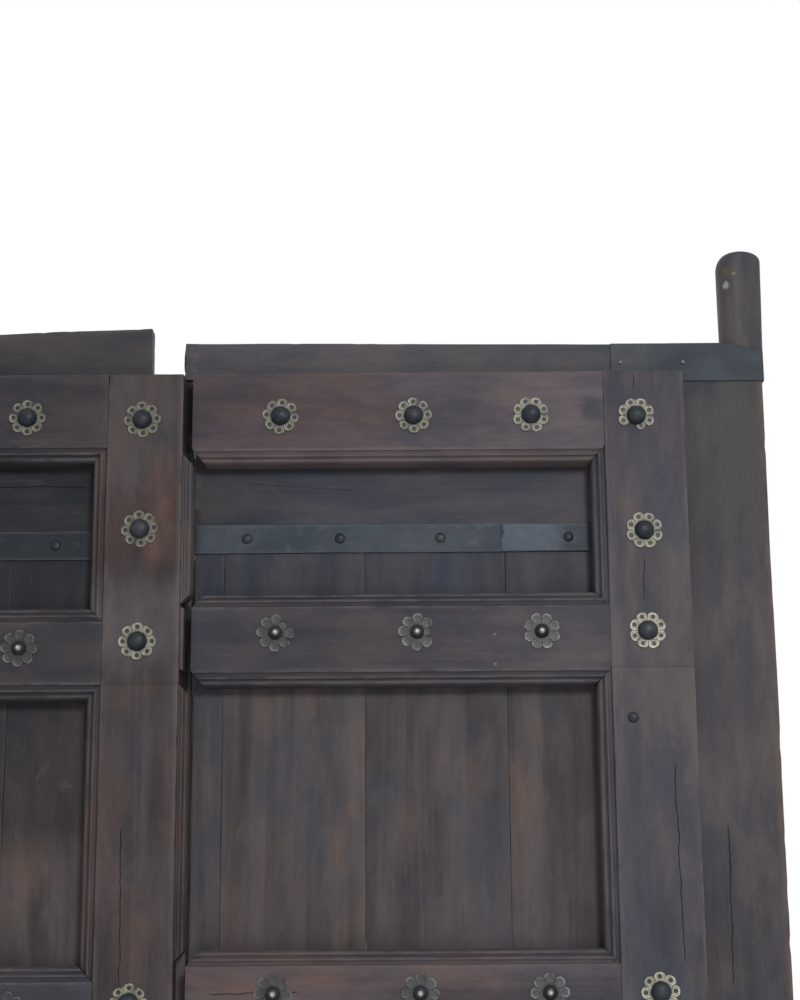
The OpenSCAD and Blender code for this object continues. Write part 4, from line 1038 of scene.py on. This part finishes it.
bright_brass = old_brass(
    "bright_brass", bright=(0.20, 0.19, 0.15), dull=(0.105, 0.10, 0.083), rim=(0.58, 0.545, 0.41),
    grime_and_shade=(0.022, 0.021, 0.020), eye_share=0.95, side_rim=1.0, dimmed=1.0, shine=0.15, roughness=0.5)
dark_brass = old_brass(
    "dark_brass", bright=(0.096, 0.096, 0.098), dull=(0.048, 0.048, 0.052), rim=(0.34, 0.34, 0.32),
    grime_and_shade=(0.016, 0.016, 0.018), eye_share=0.0, side_rim=0.12, dimmed=2.1, shine=0.15, roughness=0.5)
rosettes = petal_tree()
plate_r, petal_root, plate_rise, petal_dish = 0.0258, 0.0095, 0.0016, 0.0006
broken = {(0.634, 2.0875): {3: 0.86, 4: 0.0}, (0.121, 1.7785): {1: 0.7}, (0.316, 1.7785): {2: 0.75}}
strays = {(0.634, 2.0875): (-0.0055, -0.0025)}
half_turned = dict.fromkeys(((0.634, 2.0875), (0.634, 1.9195), (0.634, 1.7785), (0.480, 2.0875), (0.488, 1.7785)),
                            math.pi / 8)


def listed(table, x, z, otherwise):
    """What a table of places says of the rosette or stud that stands within 30 mm of one of them."""
    for (across, up), value in table.items():
        if abs(across - x) + abs(up - z) < 0.03:
            return value
    return otherwise


for side_name, body_name, _ in leaves:
    for tint, finish, slot_name, half_angle, tip_round, eye in (
            ("bright", bright_brass, "brass", 0.376, 0.17, 1.0), ("dark", dark_brass, "dark_brass", 0.372, 0.24, 0.0)):
        points, turns, sizes, centres = [], [], [], []
        for low, high in islands(f"{side_name}_{tint}_rosettes"):
            x, z, y = (low.x + high.x) / 2, (low.z + high.z) / 2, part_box(side_name + "_rail_1")[0].y
            left_of = listed(broken, x, z, {})
            spin = listed(half_turned, x, z, 0.22 * noise.noise(Vector((x * 31.0, 2.0, z * 17.0))))
            aside, lower = listed(strays, x, z, (0.0, 0.0))
            x, z = x + aside, z + lower
            points.append((x, y - 0.0002, z))
            turns.append((0, 0, 0))
            sizes.append((1, 1, 1))
            centres.append(1.0)
            for k in range(8):
                short = left_of.get(k, 1.0)
                if short == 0.0:
                    continue
                bend = 0.035 * noise.noise(Vector((x * 40.0, k * 3.7, z * 23.0)))
                points.append((x, y - 0.00005 * k, z))
                turns.append((0.02 + bend, spin + k * math.pi / 4, 0.0))
                spread = short * (1.0 + 0.035 * noise.noise(Vector((k * 1.9, x * 20.0, z * 11.0))))
                sizes.append((spread, 1.0 + 4 * bend, spread))
                centres.append(0.0)
        grown(f"{side_name}_{tint}_rosette_plates", points,
              {"turn": ("FLOAT_VECTOR", turns), "size": ("FLOAT_VECTOR", sizes), "centre": ("FLOAT", centres)},
              rosettes, {"Plate Radius": plate_r, "Petal Root": petal_root, "Half Angle": half_angle,
                         "Tip Round": tip_round, "Eye": eye, "Plate Rise": plate_rise, "Dish": petal_dish,
                         "Finish": finish},
              body_name, f"{side_name}_{tint}_rosettes", slot_name)


# Studs and nails: hand-forged iron heads, round ones on the pale rosettes, smaller ones with a bright tip on the
# tarnished rosettes, and low ones on straps, corner irons and uprights.
def stud_tree():
    """A flattened ball, cut level where it sits, with a small cone on top where the stud is tipped, beaten uneven."""
    tree, given, make, attribute, keep, joined, done = named_tree("forged_heads", (
        "Head Radius", "Head Rise", "Tip Radius", "Tip Rise", "Unevenness"))
    sums, times, _, less, _, most = links(tree)[:6]
    seat, tip_seat, tip_taper, least_tip = -0.0003, 0.0006, 0.45, 0.001
    ball = make("GeometryNodeMeshUVSphere", {"Segments": 18, "Rings": 12, "Radius": given["Head Radius"]})
    flatter = sums("DIVIDE", given["Head Rise"], given["Head Radius"])
    squash = make("ShaderNodeCombineXYZ", {0: 1.0, 1: 1.0, 2: flatter})
    dome = make("GeometryNodeTransform", {"Geometry": ball, "Scale": squash})
    where = make("GeometryNodeInputPosition")
    at = put(tree, "ShaderNodeSeparateXYZ", {0: where}).outputs
    seated = make("ShaderNodeCombineXYZ", {0: at[0], 1: at[1], 2: most(at[2], seat)})
    head = make("GeometryNodeSetPosition", {"Geometry": dome, "Position": seated})
    point = make("GeometryNodeMeshCone", {
        "Vertices": 10, "Radius Top": times(given["Tip Radius"], tip_taper), "Radius Bottom": given["Tip Radius"],
        "Depth": given["Tip Rise"]})
    tip_lift = make("ShaderNodeCombineXYZ", {2: less(given["Head Rise"], tip_seat)})
    raised = make("GeometryNodeTransform", {"Geometry": point, "Translation": tip_lift})
    tip = make("GeometryNodeDeleteGeometry", {
        "Geometry": raised, "Selection": sums("LESS_THAN", given["Tip Rise"], least_tip)})
    front = make("GeometryNodeTransform", {"Geometry": joined(head, keep(tip, "arris", 1.0)),
                                           "Rotation": (math.pi / 2, 0.0, 0.0)})
    heads = make("GeometryNodeInstanceOnPoints", {"Points": given[0], "Instance": front,
                                                  "Scale": attribute("size", "FLOAT_VECTOR")})
    loose = make("GeometryNodeRealizeInstances", {0: heads})
    real = keep(loose, "arris", most(attribute("arris"), attribute("pale")))
    dent = make("ShaderNodeTexNoise", {"Vector": where, "Scale": 95.0, "Detail": 1.0})
    push = times(less(dent, 0.5), given["Unevenness"])
    offset = make("ShaderNodeVectorMath", {0: make("GeometryNodeInputNormal"), "Scale": push}, operation="SCALE")
    return done(make("GeometryNodeSetPosition", {"Geometry": real, "Offset": offset}))


stud_iron = forged_iron(
    "stud_iron", dark=(0.014, 0.017, 0.022), light=(0.042, 0.049, 0.058), rust=(0.04, 0.03, 0.024), rust_share=0.2,
    edge=(0.22, 0.22, 0.21), shine=0.3, roughness=0.46, dents=0.3)
tip_iron = forged_iron(
    "tip_iron", dark=(0.010, 0.012, 0.015), light=(0.026, 0.029, 0.034), rust=(0.04, 0.03, 0.024), rust_share=0.1,
    edge=(0.80, 0.77, 0.66), shine=0.2, roughness=0.42, dents=0.3)
heads = stud_tree()
cad_rise, cad_nail_rise, small_nail, dent_share = {"round_studs": 0.010, "tipped_studs": 0.009}, 0.0035, 0.7, 0.16
for side_name, body_name, _ in leaves:
    for kind, radius, rise, tip_r, tip_rise, cad_r, finish in (
            ("round_studs", 0.0138, 0.0105, 0.0, 0.0, 0.013, stud_iron),
            ("tipped_studs", 0.0100, 0.0062, 0.0040, 0.0040, 0.0100, tip_iron),
            ("iron_nails", 0.0075, 0.0036, 0.0, 0.0, 0.0075, stud_iron)):
        points, sizes, pale = [], [], []
        for low, high in islands(f"{side_name}_{kind}"):
            x, z = (low.x + high.x) / 2, (low.z + high.z) / 2
            aside, lower = listed(strays, x, z, (0.0, 0.0))
            x, z = x + aside, z + lower
            share = (high.x - low.x) / 2 / cad_r
            on_corner_iron = kind == "iron_nails" and abs(x) > 0.6 and z > 2.1
            share *= small_nail if on_corner_iron else 1.0
            pale.append(1.0 if on_corner_iron else 0.0)
            points.append((x, low.y + cad_rise.get(kind, cad_nail_rise * share), z))
            sizes.append((share, share, share))
        grown(f"{side_name}_{kind}_heads", points, {"size": ("FLOAT_VECTOR", sizes), "pale": ("FLOAT", pale)}, heads,
              {"Head Radius": radius, "Head Rise": rise, "Tip Radius": tip_r, "Tip Rise": tip_rise,
               "Unevenness": radius * dent_share, "Finish": finish},
              body_name, f"{side_name}_{kind}", "iron", smooth=50)


# The bounds of the finished pair are measured.
low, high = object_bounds()
